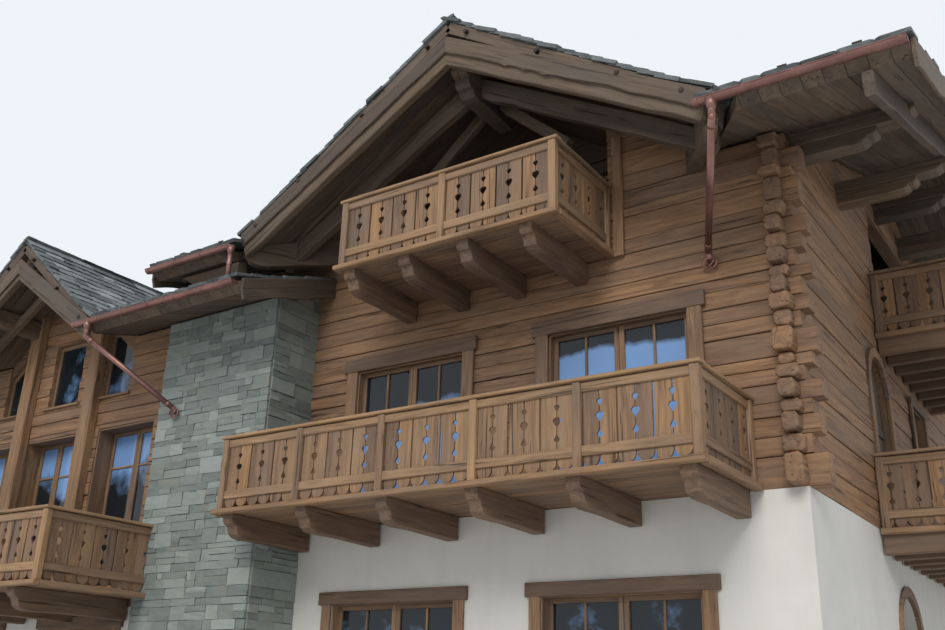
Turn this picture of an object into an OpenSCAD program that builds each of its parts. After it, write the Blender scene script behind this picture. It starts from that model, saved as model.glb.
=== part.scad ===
// Alpine chalet: a log-built main block over a plastered ground storey, a stone-clad bay and a lower wing.
// Distances are in millimetres. The layout is drawn from the front right corner of the main block:
// X runs along the front wall, Y goes back into the house and Z is the height above the ground.
// frame_shift() then moves the origin to the middle of the main block's footprint.

/* [Main block] */
// Width of the main block
body_w = 9200; // [9000:100:9600]
// Depth of the main block
body_d = 12600; // [12000:100:13000]
// Thickness of the plastered masonry walls
plaster_t = 450; // [350:10:500]
// Height where the plaster ends and the logs begin
log_base = 3500; // [3400:50:3600]
// Thickness of the log walls
log_t = 220; // [180:10:260]

/* [Floors] */
// Top of the ground floor
ground_floor = 300; // [200:50:400]
// Top of the first floor
first_floor = 3680; // [3620:10:3700]
// Top of the second floor
second_floor = 7080; // [7000:10:7120]
// Top of the wing's upper floor
wing_floor = 2700; // [2600:10:2800]
// Thickness of the upper floors
floor_t = 300; // [240:10:320]

/* [Roofs] */
// Height of the main ridge and of the front gable's ridge
ridge_z = 10650; // [10500:50:10800]
// Height of the main eaves, at the top of the slates
eave_z = 7810; // [7750:10:7900]
// Overhang of the main eaves in front of the wall
eave_out = 1800; // [1700:50:1900]
// Vertical thickness of every roof
roof_t = 320; // [280:10:340]
// Overhang of the main roof past the right gable wall
right_out = 1970; // [1800:10:2100]
// Overhang of the main roof past the left wall
left_out = 840; // [700:10:900]
// Overhang of the front gable's roof
gable_out = 1600; // [1500:50:1700]
// Half of the front gable's width at its eaves
gable_half = 3960; // [3900:10:4000]
// Rise over run of the front gable
gable_pitch = 0.66; // [0.64:0.01:0.68]

/* [Wing] */
// Half of the wing's width, which is the same on both sides of its gable
wing_half = 3100; // [3050:10:3150]
// Depth of the wing
wing_d = 8900; // [8500:100:9200]
// Thickness of the wing's walls
wing_t = 450; // [400:10:480]
// Height of the wing's eaves, at the top of the slates
wing_eave_z = 7000; // [6950:10:7050]
// Height of the wing's ridges
wing_ridge_z = 9050; // [9000:10:9100]
// Half of the wing gable's width
wing_gable_half = 2450; // [2400:10:2500]

/* [Balconies] */
// Height from a balcony's underside to the top of its rail
rail_h = 1150; // [1100:10:1200]
// Depth of the long front balcony
lower_depth = 1710; // [1600:10:1800]
// Depth of the small front balcony
upper_depth = 1620; // [1500:10:1700]
// Depth of the balconies on the right wall
side_depth = 1500; // [1300:50:1600]

/* [Hidden] */
$fn = 24;

// Colours of the materials
wood = [0.48, 0.32, 0.19];
wood_dark = [0.33, 0.22, 0.14];
wood_light = [0.62, 0.43, 0.26];
plaster = [0.86, 0.85, 0.82];
stone = [0.47, 0.49, 0.46];
slate = [0.25, 0.26, 0.27];
copper = [0.66, 0.40, 0.32];
glass = [0.45, 0.60, 0.75, 0.5];
concrete = [0.62, 0.60, 0.57];

// Lines of symmetry
axis_x = -4230;
wing_x = -13500;
ridge_y = body_d / 2;
wing_front = -750;
wing_ridge_y = wing_front + wing_d / 2 - 50;
wing_right = wing_x + wing_half;
wing_left = wing_x - wing_half;
stone_left = -10400;
stone_right = -7850;
stone_front = -950;
stone_t = 450;
main_pitch = (ridge_z - eave_z) / (ridge_y + eave_out);
wing_out = 2100;
wing_pitch = (wing_ridge_z - wing_eave_z) / (wing_ridge_y + wing_out);
wing_gable_pitch = (wing_ridge_z - wing_eave_z) / wing_gable_half;
far = 30000;
high = 14000;

// Heights of the roof tops over a place
function main_top(y) = ridge_z - abs(y - ridge_y) * main_pitch;
function gable_top(x) = ridge_z - abs(x - axis_x) * gable_pitch;
function wing_top(y) = wing_ridge_z - abs(y - wing_ridge_y) * wing_pitch;
function wing_gable_top(x) = wing_ridge_z - abs(x - wing_x) * wing_gable_pitch;

// Log courses: heights repeat from this list, and each course stands out a little more or less
course_list = [380, 230, 240, 180, 230, 190, 150, 330, 210, 210,
               240, 160, 220, 210, 230, 210, 350, 150, 260, 240];
course_count = 36;
joint_half = 9;
joint_in = 16;
function course_h(i) = course_list[i % len(course_list)];
function course_z(i) = i == 0 ? log_base : course_z(i - 1) + course_h(i - 1);
function course_out(i) = [6, 20, 10, 24, 4, 16, 12][i % 7];

// Openings as [left, right, bottom, top] along their wall
win_ground = [[axis_x - 2840, axis_x - 650, 1000, 2400], [axis_x + 710, axis_x + 2900, 1000, 2400]];
win_first = [[axis_x - 2620, axis_x - 620, first_floor, 5930],
             [axis_x + 830, axis_x + 2890, first_floor, 5930]];
door_loggia = [axis_x - 1300, axis_x + 1300, second_floor, 9200];
loggia_half = 1780;
loggia_depth = 1500;
arch_ground = [3800, 5000, ground_floor, 2720];
arch_first = [3550, 4600, first_floor, 6250];
side_window = [6250, 7200, first_floor + 850, 6050];
side_ground_window = [8000, 9600, 1000, 2400];
side_loggia = [4750, 7850, second_floor, 9100];
side_loggia_depth = 1300;
side_loggia_door = [5400, 7200, second_floor, 8900];
wing_win_first = [[wing_x - 2750, wing_x - 1250, wing_floor, 5500],
                  [wing_x - 900, wing_x + 900, wing_floor, 5500],
                  [wing_x + 1250, wing_x + 2750, wing_floor, 5500]];
wing_win_ground = [[wing_x - 2500, wing_x - 700, 900, 2100], [wing_x + 700, wing_x + 2500, 900, 2100]];
wing_gable_sill = 6100;
wing_gable_head = 7350;
rear_win_x = [-7200, -4900, -1900];
rear_w = 1300;
rear_win_z = [[1000, 2400], [4550, 5950]];
wing_rear_x = [-15300, -12200];
wing_left_y = [1200, 4800];

// Balconies as [left, right] along their wall and the height of their underside
lower_span = [-7880, -580];
lower_z = 3480;
upper_span = [-6020, -2400];
upper_z = 6880;
side_spans = [[3170, 9430, 3410], [4300, 8300, 6630]];
wing_span = [wing_left, wing_x + 3370];
wing_balcony_z = 2480;
wing_balcony_front = -2870;
deck_t = 60;
plank_h = 90;
plank_out = 60;
wall_gap = 30;

module frame_shift() {
    translate([body_w / 2, -body_d / 2, 0]) children();
}

// A block between two corners
module block(x, y, z) {
    translate([x[0], y[0], z[0]]) cube([x[1] - x[0], y[1] - y[0], z[1] - z[0]]);
}

// An outline in Y and Z, drawn out along X
module along_x(x) {
    translate([x[0], 0, 0]) rotate([90, 0, 90]) linear_extrude(x[1] - x[0]) children();
}

// An outline in X and Z, drawn out along Y
module along_y(y) {
    translate([0, y[1], 0]) rotate([90, 0, 0]) linear_extrude(y[1] - y[0]) children();
}

// Everything above a pitched line with its peak at the given place
module above_peak(peak, top, pitch, down = 0) {
    polygon([[peak - far, top - down - far * pitch], [peak, top - down],
             [peak + far, top - down - far * pitch], [peak + far, far], [peak - far, far]]);
}

// Everything below a pitched line
module below_peak(peak, top, pitch, down = 0) {
    polygon([[peak - far, top - down - far * pitch], [peak, top - down],
             [peak + far, top - down - far * pitch], [peak + far, -far], [peak - far, -far]]);
}

// A band of even vertical thickness under a pitched line, from one place to another
module pitched_band(a, b, peak, top, pitch, t, down = 0) {
    za = top - abs(a - peak) * pitch - down;
    zb = top - abs(b - peak) * pitch - down;
    points = a < peak && b > peak
        ? [[a, za], [peak, top - down], [b, zb], [b, zb - t], [peak, top - down - t], [a, za - t]]
        : [[a, za], [b, zb], [b, zb - t], [a, za - t]];
    polygon(points);
}

// What lies above the main roofs' undersides: above the main slopes and above the front gable too
module over_main(extra = 0) {
    intersection() {
        along_x([-far, far]) above_peak(ridge_y, ridge_z, main_pitch, roof_t + extra);
        along_y([-far, far]) above_peak(axis_x, ridge_z, gable_pitch, roof_t + extra);
    }
}

module over_main_slopes() {
    along_x([-far, far]) above_peak(ridge_y, ridge_z, main_pitch, roof_t);
}

module over_wing() {
    intersection() {
        along_x([-far, far]) above_peak(wing_ridge_y, wing_ridge_z, wing_pitch, roof_t);
        along_y([-far, far]) above_peak(wing_x, wing_ridge_z, wing_gable_pitch, roof_t);
    }
}

module over_wing_slopes() {
    along_x([-far, far]) above_peak(wing_ridge_y, wing_ridge_z, wing_pitch, roof_t);
}

// Section of a log wall: a flat inner face, and courses with a joint between them outside
module log_section(t, first = 0, last = course_count) {
    outer = [for (i = [first : last - 1])
        each [[course_out(i), course_z(i) + joint_half],
              [course_out(i), course_z(i + 1) - joint_half],
              [-joint_in, course_z(i + 1)]]];
    polygon(concat([[-t, course_z(first)], [0, course_z(first)]], outer, [[-t, course_z(last)]]));
}

// Log walls that face the front, the rear, the right and the left
module logs_front(x, y, t) {
    translate([0, y, 0]) mirror([0, 1, 0]) along_x(x) log_section(t);
}
module logs_rear(x, y, t) {
    translate([0, y, 0]) along_x(x) log_section(t);
}
module logs_right(y, x, t) {
    translate([x, 0, 0]) along_y(y) log_section(t);
}
module logs_left(y, x, t) {
    translate([x, 0, 0]) mirror([1, 0, 0]) along_y(y) log_section(t);
}

// Holes through a wall along X and through a wall along Y
module holes_x(list, y) {
    for (w = list) block([w[0], w[1]], y, [w[2], w[3]]);
}
module holes_y(list, x) {
    for (w = list) block(x, [w[0], w[1]], [w[2], w[3]]);
}

// A round-headed opening in a wall along Y
module arch_y(w, x) {
    r = (w[1] - w[0]) / 2;
    block(x, [w[0], w[1]], [w[2], w[3] - r]);
    translate([x[0], (w[0] + w[1]) / 2, w[3] - r])
        rotate([0, 90, 0]) cylinder(h = x[1] - x[0], r = r, $fn = 48);
}

function rear_windows(z) = [for (x = rear_win_x) [x, x + rear_w, z[0], z[1]]];
function wing_rear_windows(z) = [for (x = wing_rear_x) [x, x + rear_w, z[0], z[1]]];
function wing_left_windows(z) = [for (y = wing_left_y) [y, y + rear_w, z[0], z[1]]];
wing_z_ground = [900, 2100];
wing_z_first = [3600, 5100];

// Floors

module ground_slab() {
    color(concrete) union() {
        block([-body_w, 0], [0, body_d], [0, ground_floor]);
        block([stone_left, stone_right], [stone_front, 0], [0, ground_floor]);
        block([wing_left, -body_w], [wing_front, wing_front + wing_d], [0, ground_floor]);
    }
}

module first_floor_deck() {
    color(wood) block([-body_w + log_t, -log_t], [log_t, body_d - log_t],
                      [first_floor - floor_t + 120, first_floor]);
}

module second_floor_deck() {
    color(wood) block([-body_w + log_t, -log_t], [log_t, body_d - log_t],
                      [second_floor - floor_t, second_floor]);
}

module wing_floor_deck() {
    color(wood) block([wing_left + wing_t, -body_w], [wing_front + wing_t, wing_front + wing_d - wing_t],
                      [wing_floor - floor_t, wing_floor]);
}

// Masonry walls of the ground storey

module front_plaster_wall() {
    color(plaster) difference() {
        block([-body_w + plaster_t, 0], [0, plaster_t], [ground_floor, log_base]);
        holes_x(win_ground, [-100, plaster_t + 100]);
    }
}

module right_plaster_wall() {
    color(plaster) difference() {
        block([-plaster_t, 0], [plaster_t, body_d - plaster_t], [ground_floor, log_base]);
        arch_y(arch_ground, [-plaster_t - 100, 100]);
        holes_y([side_ground_window], [-plaster_t - 100, 100]);
    }
}

module rear_plaster_wall() {
    color(plaster) difference() {
        block([-body_w + plaster_t, 0], [body_d - plaster_t, body_d], [ground_floor, log_base]);
        holes_x(rear_windows(rear_win_z[0]), [body_d - plaster_t - 100, body_d + 100]);
    }
}

module left_plaster_wall() {
    color(plaster) block([-body_w, -body_w + plaster_t], [0, body_d], [ground_floor, log_base]);
}

module wing_front_plaster_wall() {
    color(plaster) difference() {
        block([wing_left, wing_right], [wing_front, wing_front + wing_t],
              [ground_floor, wing_floor - floor_t]);
        holes_x(wing_win_ground, [wing_front - 100, wing_front + wing_t + 100]);
    }
}

module wing_left_plaster_wall() {
    color(plaster) difference() {
        block([wing_left, wing_left + wing_t], [wing_front + wing_t, wing_front + wing_d - wing_t],
              [ground_floor, wing_floor - floor_t]);
        holes_y(wing_left_windows(wing_z_ground), [wing_left - 100, wing_left + wing_t + 100]);
    }
}

module wing_rear_plaster_wall() {
    color(plaster) difference() {
        block([wing_left, -body_w], [wing_front + wing_d - wing_t, wing_front + wing_d],
              [ground_floor, wing_floor - floor_t]);
        holes_x(wing_rear_windows(wing_z_ground),
                [wing_front + wing_d - wing_t - 100, wing_front + wing_d + 100]);
    }
}

module stone_bay_wall() {
    color(stone) difference() {
        union() {
            block([stone_left, stone_right], [stone_front, stone_front + stone_t], [ground_floor, eave_z]);
            block([stone_right - stone_t, stone_right], [stone_front, 0], [ground_floor, eave_z]);
        }
        over_wing_slopes();
    }
}

// Log walls of the main block

module front_log_wall() {
    color(wood) difference() {
        union() {
            logs_front([-body_w, 60], 0, log_t);
            for (i = [0 : 19])
                block([0, [250, 90, 200, 130, 260, 70, 180][i % 7]], [-course_out(i), log_t],
                      [course_z(i) + joint_half, course_z(i + 1) - joint_half]);
        }
        over_main();
        holes_x(win_first, [-100, log_t + 100]);
        block([axis_x - loggia_half, axis_x + loggia_half], [-100, log_t + 100], [second_floor, high]);
    }
}

module right_log_wall() {
    color(wood) difference() {
        logs_right([log_t, body_d - log_t], 0, log_t);
        over_main_slopes();
        arch_y(arch_first, [-log_t - 100, 100]);
        holes_y([side_window, side_loggia], [-log_t - 100, 100]);
    }
}

module rear_log_wall() {
    color(wood) difference() {
        logs_rear([-body_w, 60], body_d, log_t);
        over_main_slopes();
        holes_x(rear_windows(rear_win_z[1]), [body_d - log_t - 100, body_d + 100]);
    }
}

module left_log_wall() {
    color(wood) difference() {
        logs_left([log_t, body_d - log_t], -body_w, log_t);
        over_main_slopes();
    }
}

// Ends of the right wall's logs, which cross the front wall and stand out of it
log_end_x = -100;
module log_end_column() {
    color(wood_dark) difference() {
        union() for (i = [0 : 19]) {
            out = [200, 130, 230, 150, 210][i % 5];
            half = [110, 135, 100, 125][i % 4];
            block([log_end_x - half, log_end_x + half], [-out, -course_out(i)],
                  [course_z(i), course_z(i + 1)]);
        }
        over_main();
    }
}

module loggia_walls() {
    color(wood_dark) difference() {
        union() {
            block([axis_x - loggia_half - 200, axis_x - loggia_half], [log_t, loggia_depth],
                  [second_floor, high]);
            block([axis_x + loggia_half, axis_x + loggia_half + 200], [log_t, loggia_depth],
                  [second_floor, high]);
            block([axis_x - loggia_half - 200, axis_x + loggia_half + 200],
                  [loggia_depth, loggia_depth + 200], [second_floor, high]);
        }
        over_main();
        holes_x([door_loggia], [loggia_depth - 100, loggia_depth + 300]);
    }
}

module side_loggia_walls() {
    color(wood_dark) difference() {
        union() {
            block([-side_loggia_depth, -log_t], [side_loggia[0] - 200, side_loggia[0]],
                  [second_floor, high]);
            block([-side_loggia_depth, -log_t], [side_loggia[1], side_loggia[1] + 200],
                  [second_floor, high]);
            block([-side_loggia_depth - 200, -side_loggia_depth],
                  [side_loggia[0] - 200, side_loggia[1] + 200], [second_floor, high]);
        }
        over_main_slopes();
        holes_y([side_loggia_door], [-side_loggia_depth - 300, -side_loggia_depth + 100]);
    }
}

// Upper walls of the wing

// Outline of a window in the wing's gable: the middle one, and one on each side that follows the roof
module gable_window(side, inset = 0) {
    intersection() {
        translate([wing_x + (side == 0 ? -450 : side * 1525 - 375) + inset, wing_gable_sill + inset])
            square([(side == 0 ? 900 : 750) - 2 * inset, wing_gable_head - wing_gable_sill - 2 * inset]);
        below_peak(wing_x, wing_ridge_z, wing_gable_pitch, roof_t + 250 + inset);
    }
}

module wing_front_wall() {
    color(wood) difference() {
        block([wing_left, wing_right], [wing_front, wing_front + wing_t], [wing_floor - floor_t, high]);
        over_wing();
        holes_x(wing_win_first, [wing_front - 100, wing_front + wing_t + 100]);
        for (side = [-1 : 1]) along_y([wing_front - 100, wing_front + wing_t + 100]) gable_window(side);
    }
}

module wing_rear_wall() {
    color(wood) difference() {
        block([wing_left, -body_w], [wing_front + wing_d - wing_t, wing_front + wing_d],
              [wing_floor - floor_t, high]);
        over_wing_slopes();
        holes_x(wing_rear_windows(wing_z_first),
                [wing_front + wing_d - wing_t - 100, wing_front + wing_d + 100]);
    }
}

module wing_left_wall() {
    color(wood) difference() {
        block([wing_left, wing_left + wing_t], [wing_front + wing_t, wing_front + wing_d - wing_t],
              [wing_floor - floor_t, high]);
        over_wing_slopes();
        holes_y(wing_left_windows(wing_z_first), [wing_left - 100, wing_left + wing_t + 100]);
    }
}

wing_post = 300;
module wing_posts() {
    color(wood_light) difference() {
        for (side = [-1, 1])
            block([wing_x + side * 1000 - wing_post / 2, wing_x + side * 1000 + wing_post / 2],
                  [wing_front - 200, wing_front], [wing_floor, high]);
        over_wing();
    }
}

// Roofs

module main_roof_front() {
    y_hit = ridge_y - roof_t / main_pitch;
    x_open = (ridge_z - roof_t - eave_z) / gable_pitch;
    color(slate) difference() {
        along_x([-body_w - left_out, right_out])
            pitched_band(-eave_out, ridge_y, ridge_y, ridge_z, main_pitch, roof_t);
        translate([0, 0, -far / 2]) linear_extrude(far)
            polygon([[axis_x - x_open, -eave_out], [axis_x, y_hit], [axis_x + x_open, -eave_out],
                     [axis_x + x_open, -far], [axis_x - x_open, -far]]);
    }
}

module main_roof_rear() {
    color(slate) along_x([-body_w - left_out, right_out])
        pitched_band(ridge_y, body_d + eave_out, ridge_y, ridge_z, main_pitch, roof_t);
}

module gable_slope(side) {
    x = side < 0 ? [axis_x - gable_half, axis_x] : [axis_x, axis_x + gable_half];
    color(slate) difference() {
        along_y([-gable_out, ridge_y]) pitched_band(x[0], x[1], axis_x, ridge_z, gable_pitch, roof_t);
        along_x([-far, far]) below_peak(ridge_y, ridge_z, main_pitch);
    }
}

module gable_roof_left() {
    gable_slope(-1);
}

module gable_roof_right() {
    gable_slope(1);
}

wing_roof_left = wing_x - 3950;
wing_roof_right = -7550;
module wing_roof_front() {
    y_hit = wing_ridge_y - roof_t / wing_pitch;
    x_open = (wing_ridge_z - roof_t - wing_eave_z) / wing_gable_pitch;
    color(slate) difference() {
        along_x([wing_roof_left, wing_roof_right])
            pitched_band(-wing_out, wing_ridge_y, wing_ridge_y, wing_ridge_z, wing_pitch, roof_t);
        block([-body_w, far], [0, high], [-far, far]);
        translate([0, 0, -far / 2]) linear_extrude(far)
            polygon([[wing_x - x_open, -wing_out], [wing_x, y_hit], [wing_x + x_open, -wing_out],
                     [wing_x + x_open, -far], [wing_x - x_open, -far]]);
    }
}

module wing_roof_rear() {
    color(slate) along_x([wing_roof_left, -body_w])
        pitched_band(wing_ridge_y, wing_front + wing_d + 1000, wing_ridge_y, wing_ridge_z, wing_pitch,
                     roof_t);
}

module wing_gable_roof() {
    color(slate) difference() {
        along_y([-wing_out, wing_ridge_y])
            pitched_band(wing_x - wing_gable_half, wing_x + wing_gable_half, wing_x, wing_ridge_z,
                         wing_gable_pitch, roof_t);
        along_x([-far, far]) below_peak(wing_ridge_y, wing_ridge_z, wing_pitch);
    }
}

// Boards along the verges, in front of the roofs' edges, with a rafter behind each front gable's board
verge_t = 50;
module gable_verge_boards() {
    color(wood_light) {
        along_y([-gable_out - verge_t, -gable_out])
            pitched_band(axis_x - gable_half + 60, axis_x + gable_half - 60, axis_x, ridge_z, gable_pitch,
                         290, 70);
        along_y([-gable_out, -gable_out + 120])
            pitched_band(axis_x - gable_half + 120, axis_x + gable_half - 120, axis_x, ridge_z, gable_pitch,
                         230, roof_t);
    }
}

module side_verge_boards() {
    color(wood_light) {
        along_x([right_out, right_out + verge_t])
            pitched_band(-eave_out + 60, body_d + eave_out - 60, ridge_y, ridge_z, main_pitch, 380, 70);
        along_x([-body_w - left_out - verge_t, -body_w - left_out])
            pitched_band(-eave_out + 60, body_d + eave_out - 60, ridge_y, ridge_z, main_pitch, 340, 70);
    }
}

module wing_verge_boards() {
    color(wood_light) {
        along_y([-wing_out - verge_t, -wing_out])
            pitched_band(wing_x - wing_gable_half + 40, wing_x + wing_gable_half - 40, wing_x, wing_ridge_z,
                         wing_gable_pitch, 330, 60);
        along_y([-wing_out, -wing_out + 120])
            pitched_band(wing_x - wing_gable_half + 120, wing_x + wing_gable_half - 120, wing_x,
                         wing_ridge_z, wing_gable_pitch, 160, roof_t);
        along_x([wing_roof_left - verge_t, wing_roof_left])
            pitched_band(-wing_out + 60, wing_front + wing_d + 940, wing_ridge_y, wing_ridge_z, wing_pitch,
                         360, 70);
        along_x([wing_roof_right, wing_roof_right + verge_t])
            pitched_band(-wing_out + 60, 0, wing_ridge_y, wing_ridge_z, wing_pitch, 360, 70);
    }
}

// Beams under the valleys beside the front gable, from the log wall out to the foot of the verge.
// Distances of their inner and outer edge from the gable's axis, at the wall and at their free end
valley_at_wall = [2960, 3160];
valley_at_end = [3790, 3970];
module valley_beam(side) {
    out = -gable_out + 130;
    difference() {
        intersection() {
            linear_extrude(height = high) polygon([
                [axis_x + side * valley_at_wall[0], 0], [axis_x + side * valley_at_wall[1], 0],
                [axis_x + side * valley_at_end[1], out], [axis_x + side * valley_at_end[0], out]]);
            along_x([axis_x - 5000, axis_x + 5000]) polygon([
                [0, high], [0, 7870], [-600, 7700], [-1150, 7530], [-1330, 7515], [-1430, 7550],
                [out, 7640], [out, high]]);
        }
        intersection() {
            over_main_slopes();
            translate([axis_x + side * 4400, 0, 0]) cube([1200, 4000, 2 * high], center = true);
        }
    }
}

// Ridge purlin, valley beams, inner rafters and braces that carry the front gables' overhang
purlin_w = 260;
module gable_timbers() {
    color(wood_dark) {
        difference() {
            union() {
                block([axis_x - purlin_w / 2, axis_x + purlin_w / 2], [-gable_out + 130, 0], [9780, high]);
                block([axis_x - purlin_w / 2, axis_x + purlin_w / 2], [-gable_out + 400, 0], [9520, 9780]);
                for (side = [-1, 1]) valley_beam(side);
                along_y([-850, -710])
                    pitched_band(axis_x - gable_half + 250, axis_x + gable_half - 250, axis_x, ridge_z,
                                 gable_pitch, 360, roof_t - 10);
                for (side = [-1, 1])
                    along_y([-340, -220])
                        polygon([[axis_x, 9990], [axis_x + side * 1250, 8870], [axis_x + side * 1250, 8660],
                                 [axis_x, 9780]]);
            }
            over_main();
        }
        difference() {
            union() {
                for (side = [-1, 1]) {
                    block([wing_x + side * 1000 - 110, wing_x + side * 1000 + 110],
                          [-wing_out + 130, wing_front - 200],
                          [wing_gable_top(wing_x + 1000) - roof_t - 340, high]);
                    along_y([-1500, -1380])
                        polygon([[wing_x, 8640], [wing_x + side * 1700, 7250], [wing_x + side * 1700, 7060],
                                 [wing_x, 8430]]);
                }
                block([wing_x - 110, wing_x + 110], [-wing_out + 130, wing_front - 200], [8300, high]);
            }
            over_wing();
        }
    }
}

// Purlins that carry the main roof past the right wall, each as [place, depth of its top below the slates]
// and resting on a shorter bolster
side_purlin_list = [[350, 380], [2900, 760], [5420, 820], [7180, 820], [9700, 760], [12250, 380]];
module side_purlins() {
    color(wood_dark) difference() {
        for (p = side_purlin_list) {
            z = main_top(p[0]) - p[1];
            block([0, right_out - 330], [p[0] - 130, p[0] + 130], [z - 190, z]);
            block([0, right_out - 800], [p[0] - 130, p[0] + 130], [z - 380, z - 190]);
        }
        over_main_slopes();
    }
}

// Rafters that lie on those purlins inside the right verge
module side_rafters() {
    color(wood_dark) for (x = [right_out - 520, right_out - 1400])
        along_x([x, x + 120]) for (side = [-1, 1]) {
            a = ridge_y + side * 10;
            b = ridge_y + side * (ridge_y + eave_out - 200);
            pitched_band(min(a, b), max(a, b), ridge_y, ridge_z, main_pitch, 300, roof_t);
        }
}

// Timbers under the main eaves: a purlin with a carved end at the front's left, rafters at the rear
rear_rafter_x = [for (i = [0 : 12]) -9800 + i * 965];
module eave_rafters() {
    color(wood_dark) {
        difference() {
            along_y([-1520, -1340]) polygon([
                [-8250, high], [-8250, 7360], [-9240, 7360], [-9310, 7430], [-9470, 7555],
                [-9590, 7620], [-9850, 7640], [-9850, high]]);
            over_main_slopes();
        }
        difference() {
            for (x = rear_rafter_x)
                block([x - 80, x + 80], [body_d + 30, body_d + eave_out - 100], [0, high]);
            over_main_slopes();
            along_x([-far, far]) below_peak(ridge_y, ridge_z, main_pitch, roof_t + 200);
        }
    }
}

// Balconies

// A deck with an edge plank round its free sides
module deck(x, y, z) {
    block(x, y, [z + plank_h - deck_t, z + plank_h]);
    block([x[0] - plank_out, x[1] + plank_out], [y[0] - plank_out, y[0] + 60], [z, z + plank_h]);
    block([x[0] - plank_out, x[0] + 60], [y[0], y[1]], [z, z + plank_h]);
    block([x[1] - 60, x[1] + plank_out], [y[0], y[1]], [z, z + plank_h]);
}

post_w = 110;
board_t = 30;
// A railing on the free sides: posts, a handrail, a lower rail and a wall of upright boards
module railing(x, y, z, posts) {
    base = z + plank_h;
    top = z + rail_h;
    rail = 130;
    difference() {
        union() {
            block([x[0] - 30, x[1] + 30], [y[0] - 30, y[0] + 110], [top - 60, top]);
            block([x[0] - 30, x[0] + 110], [y[0], y[1]], [top - 60, top]);
            block([x[1] - 110, x[1] + 30], [y[0], y[1]], [top - 60, top]);
            block(x, [y[0] + 25, y[0] + 95], [base + 130, base + 130 + rail]);
            block(x, [y[0] + 25, y[0] + 95], [top - 170, top - 60]);
            for (side = [x[0] + 25, x[1] - 95]) {
                block([side, side + 70], [y[0], y[1]], [base + 130, base + 130 + rail]);
                block([side, side + 70], [y[0], y[1]], [top - 170, top - 60]);
                block([side + 20, side + 20 + board_t], [y[0] + 40, y[1]], [base, top - 100]);
            }
            block([x[0] + 40, x[1] - 40], [y[0] + 45, y[0] + 45 + board_t], [base, top - 100]);
            for (i = [0 : posts])
                translate([x[0] + (x[1] - x[0] - post_w) * i / posts, y[0], base])
                    cube([post_w, post_w, rail_h - plank_h - 60]);
        }
        block([x[0] - far, x[1] + far], [y[1], far], [z - far, z + far]);
    }
}

// A bracket log under a deck, with its underside rounded up to a nose at the free end
module bracket(x, depth, z, w = 200, h = 300) {
    along = [x - w / 2, x + w / 2];
    top = z + plank_h - deck_t;
    along_x(along) polygon([[-wall_gap, top], [-depth + 60, top], [-depth + 60, z - 90],
                            [-depth + 150, z - h + 60], [-depth + 320, z - h], [-wall_gap, z - h]]);
}

module lower_balcony_deck() {
    color(wood) deck(lower_span, [-lower_depth, -wall_gap], lower_z);
}

module lower_balcony_brackets() {
    color(wood_light) for (i = [0 : 5]) bracket(-780 - i * 1383, lower_depth, lower_z);
}

module lower_balcony_railing() {
    color(wood_light) railing(lower_span, [-lower_depth, -wall_gap], lower_z, 5);
}

module upper_balcony_deck() {
    color(wood) deck(upper_span, [-upper_depth, -wall_gap], upper_z);
}

module upper_balcony_brackets() {
    color(wood_light) for (i = [0 : 3]) bracket(-2880 - i * 990, upper_depth, upper_z);
}

module upper_balcony_railing() {
    color(wood_light) railing(upper_span, [-upper_depth, -wall_gap], upper_z, 2);
}

// The balconies on the right wall are drawn as front ones and turned
module on_right_wall(s) {
    translate([0, s[0], 0]) rotate([0, 0, 90]) children();
}

module side_balcony_decks() {
    color(wood) for (s = side_spans) on_right_wall(s) {
        w = s[1] - s[0];
        deck([0, w], [-side_depth, -wall_gap], s[2]);
        n = round(w / 570);
        for (i = [0 : n]) bracket(90 + (w - 180) * i / n, side_depth - 100, s[2], 140, 260);
    }
}

module side_balcony_railings() {
    color(wood_light) for (s = side_spans) on_right_wall(s)
        railing([0, s[1] - s[0]], [-side_depth, -wall_gap], s[2], 4);
}

module wing_balcony_deck() {
    color(wood) {
        deck(wing_span, [wing_balcony_front, wing_front - 200], wing_balcony_z);
        block([wing_left, wing_right], [wing_front - 200, wing_front], [wing_balcony_z, wing_floor]);
        for (i = [0 : 4])
            translate([0, wing_front, 0])
                bracket(wing_x - 2700 + i * 1350, wing_front - wing_balcony_front, wing_balcony_z);
    }
}

module wing_balcony_railing() {
    color(wood_light) {
        railing(wing_span, [wing_balcony_front, wing_front - 200], wing_balcony_z, 4);
        block([wing_left, wing_left + post_w], [wing_front - 200, wing_front],
              [wing_floor, wing_balcony_z + rail_h]);
    }
}

// Windows

casing_w = 170;
sash = 70;
// A window in a wall along X: outer casing, a sash frame and a middle post
module frame_x(w, face, depth, casing = casing_w, middle = true) {
    x = [w[0], w[1]];
    z = [w[2], w[3]];
    difference() {
        block([x[0] - casing, x[1] + casing], [face - 50, face],
              [max(z[0] - casing, ground_floor), z[1] + casing]);
        block(x, [face - 200, face + 200], z);
    }
    difference() {
        block(x, [face + depth, face + depth + 80], z);
        block([x[0] + sash, x[1] - sash], [face, face + far], [z[0] + sash, z[1] - sash]);
    }
    if (middle)
        block([(x[0] + x[1]) / 2 - 65, (x[0] + x[1]) / 2 + 65], [face + depth, face + depth + 80],
              [z[0] + sash, z[1] - sash]);
}

// The same window turned to face the right, with its face at x
module frame_right(w, x, depth, casing = 120) {
    translate([x, 0, 0]) rotate([0, 0, 90]) frame_x(w, 0, depth, casing);
}

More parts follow.
